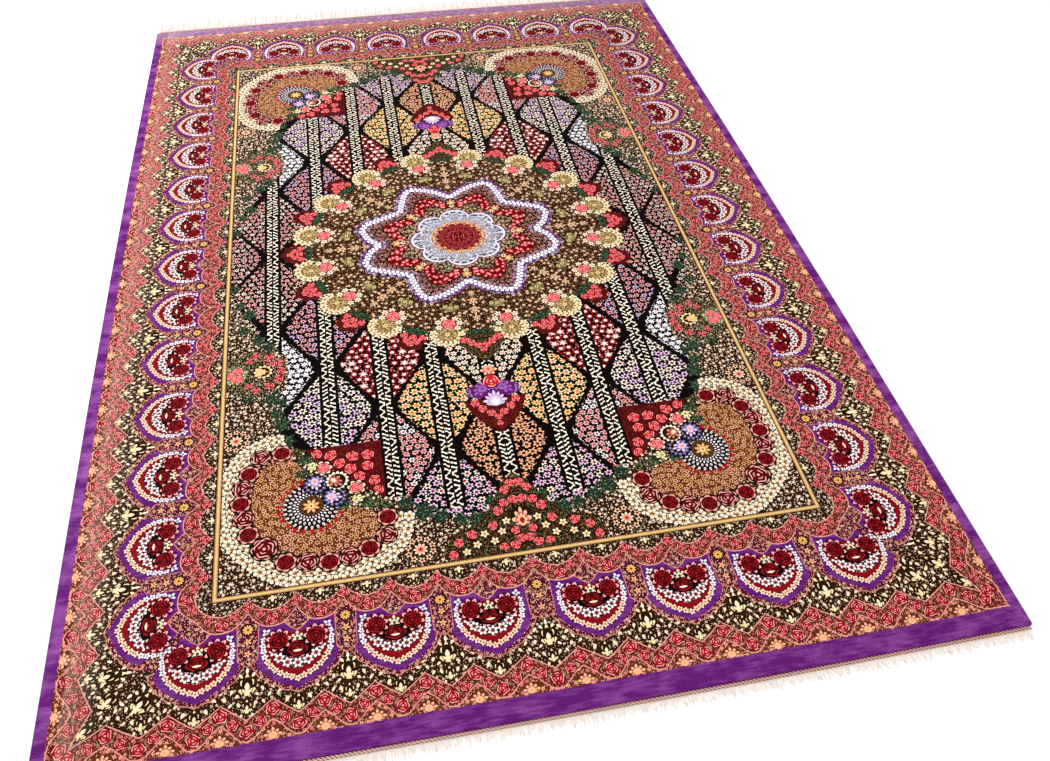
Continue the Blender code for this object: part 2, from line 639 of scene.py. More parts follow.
    def draw_arch(self, place: float) -> None:
        """Draws an arch: a lobed dark edge, a violet band and the dark dome at its foot.

        Args:
            place: The arch's middle along the side.
        """
        start = [(0.0, self.arch_foot), (self.arch_half, self.arch_foot)]
        foot = [(self.arch_half, 0.150), *ARCH_SHOULDER]
        for reach, look in ((0.0085, Dye.ROSE), (0.0066, PLUM_GARDEN)):
            rim = grown([*foot, (0.0, self.arch_top), (0.0, 0.100)], reach)[:6]
            lobes = scalloped(rim[::-1], 0.0035, 4)[::-1]
            outline = [*start, (self.arch_half, 0.145), *lobes, (0.0, self.arch_top + reach)]
            self.region(self.shape(place, outline), look)
        self.region(self.shape(place, [*start, *foot, (0.0, self.arch_top)]), VIOLET_PILE)
        self.region(self.shape(place, grown(ARCH_DOME, 0.002)), Dye.ROSE)
        self.region(self.shape(place, ARCH_DOME), PLUM_GARDEN)

    def draw_hem(self, place: float) -> None:
        """Draws the hem of white flowers under an arch, and the flowered ground within it.

        Args:
            place: The arch's middle along the side.
        """
        self.region(self.shape(place, [(0.0, 0.100), *HEM]), Dye.WINE)
        for side in BOTH_SIDES:
            beads = walk([self.at(place + side * s, d) for s, d in HEM], 12)
            for x, y, _, share in beads[: -1 if side < 0 else None]:
                cream = share > 0.45
                dyes = (Dye.CREAM, Dye.CORAL, Dye.CREAM) if cream else (Dye.WHITE, Dye.SKY, Dye.WHITE)
                self.blossom((x, y), 0.0080, dyes, 5, 0.30, 0.28)
        self.region(self.shape(place, WITHIN_HEM), WHITE_GARDEN)

    def draw_bouquet(self, place: float) -> None:
        """Draws the flowers under one arch: white ones round the hem, and roses round a dark heart.

        Args:
            place: The arch's middle along the side.
        """
        for side in BOTH_SIDES:
            self.bud(self.at(place + side * 0.049, 0.104), 0.022, self.lean(side, 0.9), Dye.FOREST, 0.6)
            white = (Dye.WHITE, Dye.SKY, Dye.SILVER)
            self.blossom(self.at(place + side * 0.062, 0.094), 0.0105, white, 4, 0.45)
            for along, deep in ((0.0460, 0.139), (0.0365, 0.1545), (0.0205, 0.1660)):
                self.blossom(self.at(place + side * along, deep), 0.0122, WHITE_DAISY, 6, 0.3, 0.40)
        self.blossom(self.at(place, 0.1700), 0.0122, WHITE_DAISY, 6, 0.3, 0.40)
        heart = [(0.0, 0.112), (0.030, 0.124), (0.034, 0.140), (0.024, 0.152), (0.0, 0.158)]
        self.region(self.shape(place, heart), Dye.BLACK)
        self.fan(self.at(place, 0.111), 0.034, 0.026, self.inward, (Dye.CREAM, Dye.FERN, Dye.FOREST), 7)
        self.motif(Stitch.ROSE, self.at(place, 0.138), (0.026, 0.018), DEEP_ROSE, self.outward)
        self.bud(self.at(place, 0.144), 0.0055, self.outward, Dye.CREAM, 3.4)
        for side in BOTH_SIDES:
            beside_heart = place + side * 0.0375
            petals = (Dye.WINE, Dye.MAROON, Dye.BLUSH)
            self.blossom(self.at(beside_heart, 0.115), 0.0285, petals, 9, 0.26, 0.66)
            self.rose(self.at(beside_heart, 0.117), 0.0200, DEEP_ROSE)

    def draw_inner_ribbon(self) -> None:
        """Draws the scalloped rose ribbon next to the guard, and the cream palmettes in its dark points."""
        lobe = [(0.0, 0.0), (0.10, 0.20), (0.30, 0.56), (0.55, 0.86), (0.78, 0.98), (1.0, 1.0)]
        point = [(0.0, 0.0), (0.10, 0.26), (0.3, 0.52), (0.6, 0.84), (1.0, 1.0)]
        self.ribbon(self.edge(0.043, 0.080, lobe, self.inner_stop), 0.0, ROSE_GARDEN)
        self.ribbon(self.edge(0.009, 0.043, point, self.inner_stop), 0.0, DARK_GARDEN)
        stops = self.stops(self.inner_stop)
        for start, end in zip(stops, stops[1:]):
            middle = (start + end) / 2
            if middle < self.mitre(0.0) - 0.02:
                self.palmette(self.at(middle, 0.023), 0.023, self.outward)
            self.rose(self.at(start, 0.0275), 0.0130, RED_ROSE)
            self.rose(self.at(middle, 0.063), 0.0145, RED_ROSE)
            for share in (0.26, 0.74):
                self.rose(self.at(start + (end - start) * share, 0.046), 0.0110, RED_ROSE)

    def draw_outer_ribbon(self) -> None:
        """Draws the zigzag rose ribbon and the peach florets outside it."""
        tent = [(0.0, 0.0), (0.45, 0.40), (0.8, 0.76), (0.92, 0.86), (1.0, 1.0)]
        bowl = [(0.0, 0.0), (0.2, 0.05), (0.45, 0.35), (0.7, 0.72), (0.88, 0.88), (1.0, 1.0)]
        self.ribbon(self.edge(0.2725, 0.2350, tent, self.outer_stop), self.depth, ROSE_GARDEN)
        self.ribbon(self.edge(0.3150, 0.2770, bowl, self.outer_stop), self.depth, PEACH_GARDEN)
        stops = self.stops(self.outer_stop)
        for start, end in zip(stops, stops[1:]):
            middle, span = (start + end) / 2, end - start
            self.rose(self.at(middle, 0.257), 0.0155, RED_ROSE)
            self.rose(self.at(start, 0.295), 0.0150, RED_ROSE)
            for share in (0.27, 0.73):
                self.rose(self.at(start + span * share, 0.278), 0.0125, RED_ROSE)
            for share, deep in ((0.13, 0.288), (0.40, 0.271), (0.60, 0.271), (0.87, 0.288)):
                self.bud(self.at(start + span * share, deep), 0.009, self.outward + share * 3, Dye.MOSS)
            self.fan(self.at(middle, 0.304), 0.040, 0.024, self.inward, (Dye.PEACH, Dye.OCHRE, Dye.CLAY))
        self.rose(self.at(stops[-1], 0.290), 0.0165, RED_ROSE)


@dataclass
class Border(Drawing):
    """The main border: bouquets under arches between two rose ribbons, and the gold guard line within it."""

    guard: Point = (0.675, 1.134)
    guard_width: float = 0.010
    guard_shadow: float = 0.0022
    side_scale: float = 0.94
    end_arches: tuple[float, ...] = (0.11, 0.308, 0.506, 0.704)
    end_gaps: tuple[float, ...] = (0.0, 0.209, 0.407, 0.605, 0.803)
    side_pitch: float = 0.195
    side_arches: int = 7

    def sides(self) -> tuple[BorderSide, BorderSide]:
        """The two sides that meet in the quarter's corner.

        Returns:
            The end, and the long side.
        """
        width, length = self.guard
        arches = tuple(self.side_pitch * index for index in range(self.side_arches))
        between = tuple(place + self.side_pitch / 2 for place in arches)
        end = (True, length, 1.0, width, self.side_scale, self.end_arches, self.end_gaps)
        long_side = (False, width, self.side_scale, length, 1.0, arches, between)
        return BorderSide(self.cartoon, *end), BorderSide(self.cartoon, *long_side)

    def draw(self) -> None:
        """Draws the border from its ground up, so that what turns the corner lies on both sides' grounds."""
        sides = self.sides()
        for side in sides:
            side.draw_ground()
        corner = [(0.675, 1.134), (0.80, 1.16), (0.83, 1.20), (0.82, 1.27), (0.76, 1.28), (0.70, 1.24)]
        self.region(corner, PLUM_GARDEN)
        for side in sides:
            side.draw_diamonds()
            for place in side.arches:
                side.draw_arch(place)
        for side in sides:
            for place in side.arches:
                side.draw_hem(place)
                side.draw_bouquet(place)
            side.draw_columns()
        for x, y, size, turn in CORNER_PALMETTES:
            self.palmette((x, y), size, turn)
        for side in sides:
            side.draw_inner_ribbon()
        for side in sides:
            side.draw_outer_ribbon()
        self.draw_guard()

    def draw_guard(self) -> None:
        """Draws the gold guard line between field and border with its dark edges."""
        width, length = self.guard
        half = self.guard_width / 2
        for reach, dye in ((half + self.guard_shadow, Dye.SOOT), (half, Dye.TAN), (half * 0.5, Dye.GOLD)):
            a, b, c, d = width + reach, length + reach, width - reach, length - reach
            self.region([(a, 0.0), (a, b), (0.0, b), (0.0, d), (c, d), (c, 0.0)], dye)


# Right halves of an arch's outlines, as distances from its middle and depths.
ARCH_SHOULDER = [(0.078, 0.169), (0.066, 0.184), (0.050, 0.198), (0.030, 0.210), (0.012, 0.218)]
ARCH_DOME = [
    (0.0, 0.045), (0.047, 0.050), (0.043, 0.064), (0.030, 0.076), (0.026, 0.074), (0.012, 0.089),
    (0.0, 0.096),
]
HEM = [
    (0.062, 0.098), (0.067, 0.110), (0.069, 0.128), (0.065, 0.148), (0.056, 0.166), (0.042, 0.182),
    (0.022, 0.194), (0.0, 0.203),
]
WITHIN_HEM = [
    (0.0, 0.110), (0.048, 0.106), (0.053, 0.116), (0.054, 0.130), (0.049, 0.147), (0.040, 0.161),
    (0.024, 0.175), (0.0, 0.183),
]
DIAMOND_BUDS = (  # distance along, depth, length and lean of the buds round a large palmette
    (0.012, 0.181, 0.011, -0.6), (0.026, 0.185, 0.012, 0.8), (0.038, 0.199, 0.012, -0.9),
    (0.030, 0.212, 0.011, 0.3), (0.050, 0.211, 0.011, 0.6), (0.043, 0.226, 0.011, -0.5),
    (0.020, 0.222, 0.010, 0.9), (0.016, 0.240, 0.011, -0.4), (0.062, 0.223, 0.011, -0.8),
    (0.032, 0.239, 0.010, 0.5), (0.076, 0.219, 0.010, 0.4), (0.011, 0.263, 0.009, 0.3),
)
CORNER_PALMETTES = (  # x, y, width and the way the crown points
    (0.805, 1.335, 0.038, pi * 1.2), (0.865, 1.318, 0.034, pi * 1.25), (0.872, 1.268, 0.034, pi * 1.4),
    (0.905, 1.372, 0.032, pi * 1.25),
)


# ================================================================ the field
FOLIAGE_GROUND = florets(Dye.FOREST, (Dye.FERN, Dye.MOSS, Dye.FERN), 0.0100, 0.4, 0.34, 0.30)
MAROON_GROUND = florets(Dye.MAROON, (Dye.SOOT, Dye.PLUM, Dye.UMBER), 0.0100, 0.4, 0.34, 0.20)
OLIVE_GROUND = florets(Dye.SOOT, (Dye.UMBER, Dye.CLAY, Dye.MOSS), 0.0100, 0.4, 0.34, 0.24)
OUTER_GARDEN = florets(Dye.BROWN, (Dye.CREAM, Dye.PEACH, Dye.IVORY), 0.0165, 0.35, 0.26, 0.25)


@dataclass
class Trellis(Drawing):
    """Leaf columns on black with flowered compartments between them, and the garden ground round it all."""

    columns: tuple[float, ...] = (0.0, 0.14, 0.275, 0.413, 0.552, 0.690)
    ends: tuple[float, ...] = (0.93, 0.99, 0.935, 0.753, 0.42, 0.0)
    leaf_half: float = 0.0165
    column_half: float = 0.0235
    leaf_pitch: float = 0.0135
    node_pitch: float = 0.325
    belly: float = 0.104
    bend: float = 1.3
    jag: float = 0.0028
    jags: int = 36
    field_end: Point = (0.675, 1.134)

    def draw(self) -> None:
        """Draws the trellis from the black ground up."""
        width, length = self.field_end
        self.region([(0.0, 0.0), (width, 0.0), (width, length), (0.0, length)], Dye.BLACK)
        for (column, node), (petal, heart, other, size, radius) in COMPARTMENTS.items():
            first = 0.0 if column % 2 == 0 else self.node_pitch / 2
            bloom = florets(Dye.BLACK, (petal, heart, other), size, 0.3, 0.16, radius, Stitch.ROWS)
            self.region(self.compartment(self.columns[column], first + node * self.node_pitch), bloom)
        for place, end in zip(self.columns, self.ends):
            if end:
                self.draw_column(place, end)
        corner = [(0.297, 0.757), (0.475, 0.757), (0.46, 0.80), (0.385, 0.88), (0.34, 0.935), (0.297, 0.945)]
        self.region(corner, MAROON_GROUND)
        self.roses(CORNER_ROSES, SCARLET_ROSE)
        self.region([*TRELLIS_RIM, (width, 0.0), (width, length), (0.0, length)], OUTER_GARDEN)

    def compartment(self, middle: float, start: float) -> Path:
        """A leaf-shaped compartment's jagged outline.

        Args:
            middle: The x of its axis.
            start: The y of its inner end.

        Returns:
            The outline's points.
        """
        half = []
        for step in range(self.jags + 1):
            share = step / self.jags
            width = self.belly * (1 - abs(2 * share - 1) ** self.bend) + self.jag * (1 if step % 2 else -1)
            half.append((max(0.0, width), start + share * self.node_pitch))
        return [(middle + w, y) for w, y in half] + [(middle - w, y) for w, y in reversed(half[1:-1])]

    def draw_column(self, middle: float, end: float) -> None:
        """Draws one column of leaves on black, from the rug's middle line to its end."""
        leaves = Filling(Dye.BLACK, (Dye.IVORY,), Stitch.LEAVES)
        for half, look in ((self.column_half, Dye.BLACK), (self.leaf_half, leaves)):
            outline = [(middle - half, 0.0), (middle + half, 0.0), (middle + half, end), (middle - half, end)]
            self.region(outline, look, (middle, 0.0), (self.leaf_half, self.leaf_pitch))


COMPARTMENTS = {  # by column and node: petals, hearts, other flowers, the flowers' distance and their radius
    (0, 1): (Dye.IVORY, Dye.ROSE, Dye.IVORY, 0.0225, 0.41),
    (0, 2): (Dye.PEACH, Dye.RUST, Dye.PEACH, 0.0250, 0.45),
    (1, 0): (Dye.IVORY, Dye.ROSE, Dye.IVORY, 0.0220, 0.38),
    (1, 1): (Dye.BUFF, Dye.ORANGE, Dye.STRAW, 0.0250, 0.46),
    (1, 2): (Dye.LILAC, Dye.WINE, Dye.IVORY, 0.0225, 0.43),
    (2, 1): (Dye.CRIMSON, Dye.IVORY, Dye.BLUSH, 0.0240, 0.48),
    (2, 2): (Dye.BLUSH, Dye.CLAY, Dye.WHITE, 0.0200, 0.43),
    (3, -1): (Dye.CRIMSON, Dye.IVORY, Dye.BLUSH, 0.0225, 0.46),
    (3, 0): (Dye.BLUSH, Dye.PLUM, Dye.LILAC, 0.0215, 0.38),
    (3, 1): (Dye.IVORY, Dye.PLUM, Dye.LILAC, 0.0240, 0.45),
    (4, 0): (Dye.BLUSH, Dye.CLAY, Dye.IVORY, 0.0200, 0.35),
    (4, 1): (Dye.WHITE, Dye.SILVER, Dye.WHITE, 0.0205, 0.43),
    (5, -1): (Dye.BLUSH, Dye.UMBER, Dye.IVORY, 0.0195, 0.34),
    (5, 0): (Dye.BLUSH, Dye.UMBER, Dye.IVORY, 0.0195, 0.34),
}
TRELLIS_RIM = (  # where the garden ground begins, from the far end of the middle line to the long side
    (0.0, 0.945), (0.045, 0.965), (0.075, 1.01), (0.13, 1.02), (0.185, 1.005), (0.225, 0.965), (0.262, 0.955),
    (0.30, 0.925), (0.385, 0.86), (0.47, 0.775), (0.512, 0.735), (0.540, 0.68), (0.528, 0.625),
    (0.535, 0.565), (0.515, 0.53), (0.515, 0.43), (0.555, 0.375), (0.60, 0.33), (0.635, 0.25), (0.655, 0.17),
    (0.668, 0.08), (0.668, 0.0),
)
CORNER_ROSES = (  # x, y and radius, as in the other tables of roses
    (0.330, 0.797, 0.0165), (0.367, 0.795, 0.0165), (0.418, 0.784, 0.0165), (0.450, 0.774, 0.0145),
    (0.333, 0.830, 0.0155), (0.374, 0.832, 0.0165), (0.398, 0.812, 0.0155), (0.353, 0.858, 0.0150),
    (0.320, 0.876, 0.0155), (0.313, 0.906, 0.0145),
)


@dataclass
class Medallion(Drawing):
    """The round middle: a disc of florets with shell flowers round it, and an eight-lobed star.

    Attributes:
        squash: Its size along Y as a share of that along X.
        step: Degrees between two of its clusters or shells.
        shell_ring, rose_ring, bud_ring: How far the shells, their roses and their buds lie from the middle.
        flower_tip, flower_notch: The reach of the grey flower's petals and of the notches between them.
        beads, bead_radius, bead_offset: How many beads the star has, their size, and how far they alternate.
    """

    squash: float = 0.945
    step: float = 22.5
    shell_ring: float = 0.452
    shell_radius: float = 0.048
    rose_ring: float = 0.408
    bud_ring: float = 0.335
    flower_tip: float = 0.143
    flower_notch: float = 0.117
    beads: int = 304
    bead_radius: float = 0.0054
    bead_offset: float = 0.0046

    def at(self, reach: float, degrees: float, aside: float = 0.0) -> Point:
        """A place in the medallion.

        Args:
            reach: Its distance from the middle.
            degrees: Its direction.
            aside: How far it lies to the left of that.

        Returns:
            The place on the rug.
        """
        angle = radians(degrees)
        x, y = reach * cos(angle) - aside * sin(angle), reach * sin(angle) + aside * cos(angle)
        return (x, self.squash * y)

    def ring(
        self, reach: float, swell: float, lobes: int, first: float, power: float, steps: int = 12
    ) -> Path:
        """A closed lobed outline round the middle.

        Args:
            reach: The notches' distance from the middle.
            swell: How much further the tips reach.
            lobes: How many there are.
            first: The first tip's direction in degrees.
            power: How pointed the tips are.
            steps: How many points a lobe has.

        Returns:
            The outline's points.
        """
        points = []
        for step in range(lobes * steps):
            angle = first + 360 * step / (lobes * steps)
            part = abs(cos(radians((angle - first) * lobes / 2)))
            points.append(self.at(reach + swell * part**power, angle))
        return points

    def draw(self) -> None:
        """Draws the medallion from its outer clusters inwards."""
        for index in range(5):
            self.draw_cluster(self.step * index)
        disc = florets(Dye.EARTH, (Dye.FAWN, Dye.FAWN, Dye.TAN), 0.0180, 0.35, 0.21, 0.28)
        self.region(self.ring(0.430, 0.022, 16, self.step / 2, 0.8, 6), disc)
        for degrees in (0.0, 45.0, 90.0):
            for reach, size in ((0.282, 0.024), (0.318, 0.034), (0.358, 0.036), (0.392, 0.026)):
                turn = radians(90 - degrees)
                self.fan(self.at(reach, degrees), size, size * 1.1, turn, (Dye.FAWN, Dye.TAN, Dye.BROWN), 7)
        for index in range(4):
            self.draw_shell(self.step * (index + 0.5))
        self.draw_star()
        self.draw_flower()

    def draw_cluster(self, degrees: float) -> None:
        """Draws the red roses between two shells.

        Args:
            degrees: The cluster's direction.
        """
        self.region(lobed(*self.at(0.487, degrees), 0.045, 7, 0.25, radians(degrees)), MAROON_GROUND)
        self.region(oval(*self.at(0.448, degrees), 0.012, 0.036, radians(degrees)), FOLIAGE_GROUND)
        for reach, aside in ((0.470, 0.026), (0.488, 0.015), (0.500, 0.0), (0.474, 0.0)):
            for side in BOTH_SIDES if aside else (1,):
                self.rose(self.at(reach, degrees, side * aside), 0.0118, SCARLET_ROSE)

    def draw_shell(self, degrees: float) -> None:
        """Draws a half flower on the rim with the rose, leaves and bud on its axis.

        Args:
            degrees: The shell's direction.
        """
        turn = radians(90 - degrees)
        x, y = self.at(self.shell_ring, degrees)
        ground = florets(Dye.UMBER, (Dye.BUFF, Dye.MOSS, Dye.FERN), 0.0085, 0.3, 0.3, 0.40)
        self.region(lobed(x, y, self.shell_radius, 11, 0.10, radians(degrees)), ground)
        for step in range(-4, 5):
            angle = radians(degrees + step * 24)
            place = (x + 0.038 * cos(angle), y + 0.038 * sin(angle))
            self.blossom(place, 0.0132, (Dye.CREAM, Dye.GOLD, Dye.BUFF), 5, 0.2, 0.26)
        lace = florets(Dye.UMBER, (Dye.GOLD, Dye.MOSS, Dye.STRAW), 0.0085, 0.45, 0.34, 0.43)
        self.region(lobed(x, y, 0.029, 9, 0.12, radians(degrees)), lace)
        self.blossom((x, y), 0.0100, (Dye.BUFF, Dye.AMBER, Dye.GOLD), 6, 0.3)
        for aside in (-0.034, 0.034):
            self.bud(self.at(0.428, degrees, aside), 0.024, turn + aside * 20, Dye.FERN, 0.5)
            for reach, part in ((0.424, 0.75), (0.402, 0.86), (0.386, 0.45)):
                place = self.at(reach, degrees, aside * part)
                self.blossom(place, 0.0115, (Dye.CREAM, Dye.PEACH, Dye.IVORY), 6)
        self.rose(self.at(self.rose_ring, degrees), 0.0215, PINK_ROSE)
        self.fan(self.at(self.bud_ring, degrees), 0.056, 0.040, turn + pi, (Dye.MOSS, Dye.CLAY, Dye.UMBER), 9)
        for aside in (-0.016, 0.0, 0.016):
            place = self.at(self.bud_ring + 0.004 - abs(aside) * 0.3, degrees, aside)
            self.blossom(place, 0.0075, (Dye.STRAW, Dye.WINE, Dye.BUFF), 6)

    def star(self, grow: float) -> Path:
        """The star's outline through its knots.

        Args:
            grow: How far it is moved out.

        Returns:
            The outline's points.
        """
        quarter = [self.at(reach, degrees) for degrees, reach in STAR_KNOTS]
        half = quarter + [(-x, y) for x, y in quarter[-2::-1]]
        return grown(half + [(x, -y) for x, y in half[-2:0:-1]], grow)

    def draw_star(self) -> None:
        """Draws the beaded star and the rose sprays in its lobes."""
        for grow, look in (
            (0.0200, florets(Dye.SOOT, (Dye.LAVENDER, Dye.IRIS, Dye.LILAC), 0.0125, 0.5, 0.3, 0.44)),
            (0.0092, Dye.IRIS),
            (-0.0092, florets(Dye.SOOT, (Dye.LILAC, Dye.VIOLET, Dye.BLUSH), 0.0115, 0.4, 0.3, 0.38)),
            (-0.0210, florets(Dye.SOOT, (Dye.PINK, Dye.WINE, Dye.FAWN), 0.0130, 0.4, 0.26, 0.27)),
        ):
            self.region(self.star(grow), look)
        line = self.star(0.0)
        for step, (x, y, angle, _) in enumerate(walk(line + line[:1], self.beads + 1)):
            aside = self.bead_offset if step % 2 else -self.bead_offset
            if x > -0.01 and y > -0.01:
                place = (x - aside * sin(angle), y + aside * cos(angle))
                self.region(oval(*place, self.bead_radius, sides=6), Dye.WHITE)
        ground = florets(Dye.SOOT, (Dye.FAWN, Dye.UMBER, Dye.BUFF), 0.0110)
        self.region(self.ring(0.156, 0.020, 8, self.step, 1.0), ground)
        red = florets(Dye.MAROON, (Dye.SCARLET, Dye.BLUSH, Dye.CORAL), 0.0145, 0.4, 0.12, 0.48)
        for degrees in (22.5, 67.5):
            spray = [self.at(reach, degrees, aside) for reach, aside in SPRAY]
            spray += [self.at(reach, degrees, -aside) for reach, aside in SPRAY[-2:0:-1]]
            self.region(grown(spray, 0.0075), Dye.SOOT)
            self.region(grown(spray, 0.0040), red)
        for degrees in (0.0, 45.0, 90.0):
            turn = radians(90 - degrees)
            self.fan(self.at(0.192, degrees), 0.036, 0.030, turn, (Dye.OCHRE, Dye.STRAW, Dye.CLAY), 7)
            self.blossom(self.at(0.168, degrees), 0.0100, (Dye.CREAM, Dye.CLAY, Dye.BUFF), 6)

    def draw_flower(self) -> None:
        """Draws the grey flower, the gold ring and the red heart."""
        for grow, look in (
            (0.0110, florets(Dye.SOOT, (Dye.FAWN, Dye.ROSE, Dye.BLUSH), 0.0110, 0.4, 0.3, 0.38)),
            (0.0035, Dye.IRIS),
            (0.0, Dye.WHITE),
            (-0.0046, Dye.SKY),
            (-0.0070, florets(Dye.SILVER, (Dye.SOOT, Dye.SOOT, Dye.IRIS), 0.0110, 0.3, 0.26, 0.40)),
            (-0.0240, florets(Dye.SILVER, (Dye.SOOT, Dye.SILVER, Dye.IRIS), 0.0095, 0.4, 0.34, 0.44)),
        ):
            swell = self.flower_tip - self.flower_notch
            self.region(self.ring(self.flower_notch + grow, swell, 8, 0.0, 0.7, 8), look)
        gold = florets(Dye.CLAY, (Dye.OCHRE, Dye.STRAW, Dye.BUFF), 0.009, 0.3, 0.3, 0.42)
        self.region(self.ring(0.075, 0.014, 16, 0.0, 1.6, 4), gold)
        heart = florets(Dye.MAROON, (Dye.CRIMSON, Dye.MAROON, Dye.SCARLET), 0.0120, 0.2, 0.2, 0.36)
        self.region(self.ring(0.060, 0.010, 16, self.step / 2, 0.8, 4), heart)
        for reach, count, radius in ((0.055, 8, 0.0100), (0.032, 4, 0.0110)):
            for step in range(count):
                self.rose(self.at(reach, 90 * (step + 0.5) / count), radius, HEART_ROSE)
        self.rose((0.0, 0.0), 0.020, HEART_ROSE)


STAR_KNOTS = (  # direction in degrees and reach of the star's tips, notches and the places between them
    (0.0, 0.236), (6.5, 0.270), (16.0, 0.298), (23.0, 0.294), (45.0, 0.229), (52.0, 0.253), (62.0, 0.297),
    (67.0, 0.306), (74.0, 0.283), (81.0, 0.252), (90.0, 0.216),
)
SPRAY = (  # reach and aside of half of the V of roses in one lobe of the star
    (0.236, 0.0), (0.221, 0.021), (0.198, 0.040), (0.176, 0.052), (0.162, 0.051), (0.157, 0.041),
    (0.166, 0.033), (0.183, 0.023), (0.196, 0.008), (0.198, 0.0),
)


@dataclass
class CornerRoundel(Drawing):
    """A fan-shaped corner: a beaded rosette on ochre, ringed by dark roses and cream florets."""

    eye: Point = (0.468, 0.925)
    rose_radius: float = 0.0265
    corner_rose: int = 7
    corner_rose_radius: float = 0.033
    spokes: int = 28

    def beside_roses(self, offset: float, count: int) -> Path:
        """Places beside the line of roses.

        Args:
            offset: How far they lie outside it.
            count: How many there are, evenly spaced.

        Returns:
            The places.
        """
        line = np.array([place[:2] for place in walk(ROUNDEL_ROSES, 60)])
        for _ in range(6):
            line[1:-1] = (line[:-2] + line[1:-1] * 2 + line[2:]) / 4
        return [place[:2] for place in walk([tuple(point) for point in beside(line, -offset)], count)]

    def around(self, reach: float, count: int, shift: float = 0.0) -> Iterable[tuple[Point, float]]:
        """Places on a circle round the eye, with the way out at each."""
        for angle in (FULL_TURN * (step + shift) / count for step in range(count)):
            yield (self.eye[0] + reach * sin(angle), self.eye[1] + reach * cos(angle)), angle

    def draw(self) -> None:
        """Draws the roundel from its florets inwards."""
        self.region(band(self.beside_roses(0.006, 30), 0.112), FOLIAGE_GROUND)
        rim = florets(Dye.SOOT, (Dye.ROSE, Dye.BLUSH, Dye.MOSS), 0.010)
        self.region(band(self.beside_roses(-0.002, 30), 0.060), rim)
        ochre = florets(Dye.SIENNA, (Dye.OCHRE, Dye.SIENNA, Dye.PEACH), 0.0150, 0.45, 0.34, 0.41)
        self.region(OCHRE_FAN, ochre)
        for offset, count in ((0.0285, 46), (0.0490, 50)):
            for place in self.beside_roses(offset, count):
                self.blossom(place, 0.0152, (Dye.CREAM, Dye.TAN, Dye.IVORY), 6, 0.14, 0.30)
        for index, place in enumerate(ROUNDEL_ROSES):
            radius = self.corner_rose_radius if index == self.corner_rose else self.rose_radius
            self.blossom(place, radius, (Dye.BLUSH, Dye.MAROON, Dye.PINK), 7, 0.12, 0.70)
            self.rose(place, radius * (0.80 if index % 2 else 0.68), PALE_ROSE if index % 2 else DEEP_ROSE)
        self.draw_rosette()
        self.draw_companions()

    def draw_rosette(self) -> None:
        """Draws the eye with its rows of white drops and red points."""
        for place, angle in self.around(0.072, 22):
            self.bud(place, 0.018, angle, Dye.CRIMSON, 0.46)
        self.region(lobed(*self.eye, 0.068, 26, 0.10), Dye.SOOT)
        rows = ((0.0605, 0.0100), (0.0490, 0.0092), (0.0390, 0.0076), (0.0315, 0.0056))
        for index, (reach, length) in enumerate(rows):
            for place, angle in self.around(reach, self.spokes, index % 2 / 2):
                self.bud(place, length, angle, Dye.WHITE, 0.56)
                if index < 2:
                    self.bud(place, length * 0.5, angle, Dye.SOOT, 0.5)
        self.region(oval(*self.eye, 0.0270, sides=20), Dye.UMBER)
        self.blossom(self.eye, 0.0260, (Dye.OCHRE, Dye.STRAW, Dye.UMBER), 8, 0.3, 0.26)

    def draw_companions(self) -> None:
        """Draws the fans, roses and leaves between the eye and the trellis."""
        for x, y, size, dye in COMPANION_LEAVES:
            leaves = florets(dye, (Dye.FERN, Dye.MOSS, Dye.MOSS), 0.009, 0.4, 0.34, 0.3)
            self.region(lobed(x, y, size, 5, 0.45, x * 50, 0.8), leaves)
        for place, turn in (((0.413, 0.908), -1.35), ((0.456, 0.866), -0.2)):
            self.blossom(place, 0.0310, (Dye.SKY, Dye.SOOT, Dye.IRIS), 13, 0.18, 0.62)
            self.fan(place, 0.040, 0.040, turn, (Dye.LILAC, Dye.PINK, Dye.IRIS), 9)
        self.blossom((0.406, 0.862), 0.0300, (Dye.CREAM, Dye.SOOT, Dye.IVORY), 15, 0.12, 0.66)
        self.fan((0.408, 0.866), 0.038, 0.040, -0.8, (Dye.ROSE, Dye.CREAM, Dye.MAROON), 9)
        for place in ((0.363, 0.890), (0.437, 0.820)):
            self.blossom(place, 0.0240, (Dye.BLUSH, Dye.CORAL, Dye.CREAM), 7, 0.2, 0.6)
            self.rose(place, 0.0170, PINK_ROSE)
        for place, turn in (((0.463, 0.815), 0.2), ((0.358, 0.922), -1.8)):
            self.fan(place, 0.030, 0.034, turn, (Dye.BUFF, Dye.MOSS, Dye.MOSS), 7)


OCHRE_FAN = [
    (0.400, 0.945), (0.365, 0.945), (0.330, 0.965), (0.315, 0.995), (0.322, 1.022), (0.350, 1.045),
    (0.395, 1.056), (0.450, 1.058), (0.505, 1.050), (0.545, 1.025), (0.580, 0.990), (0.598, 0.945),
    (0.602, 0.890), (0.596, 0.840), (0.580, 0.805), (0.550, 0.782), (0.515, 0.780), (0.492, 0.800),
    (0.485, 0.835), (0.480, 0.870),
]
ROUNDEL_ROSES = [
    (0.532, 0.758), (0.582, 0.764), (0.608, 0.808), (0.622, 0.848), (0.626, 0.892), (0.619, 0.936),
    (0.608, 0.980), (0.573, 1.023), (0.527, 1.066), (0.480, 1.073), (0.433, 1.081), (0.388, 1.075),
    (0.345, 1.061), (0.305, 1.033), (0.299, 0.985),
]
COMPANION_LEAVES = (  # x, y, size and ground of the leaves beside the eye
    (0.340, 0.938, 0.026, Dye.FOREST), (0.305, 0.948, 0.022, Dye.SOOT), (0.480, 0.790, 0.024, Dye.FOREST),
    (0.495, 0.762, 0.020, Dye.SOOT), (0.395, 0.935, 0.022, Dye.FOREST), (0.488, 0.830, 0.020, Dye.FOREST),
    (0.440, 0.885, 0.028, Dye.SOOT),
)


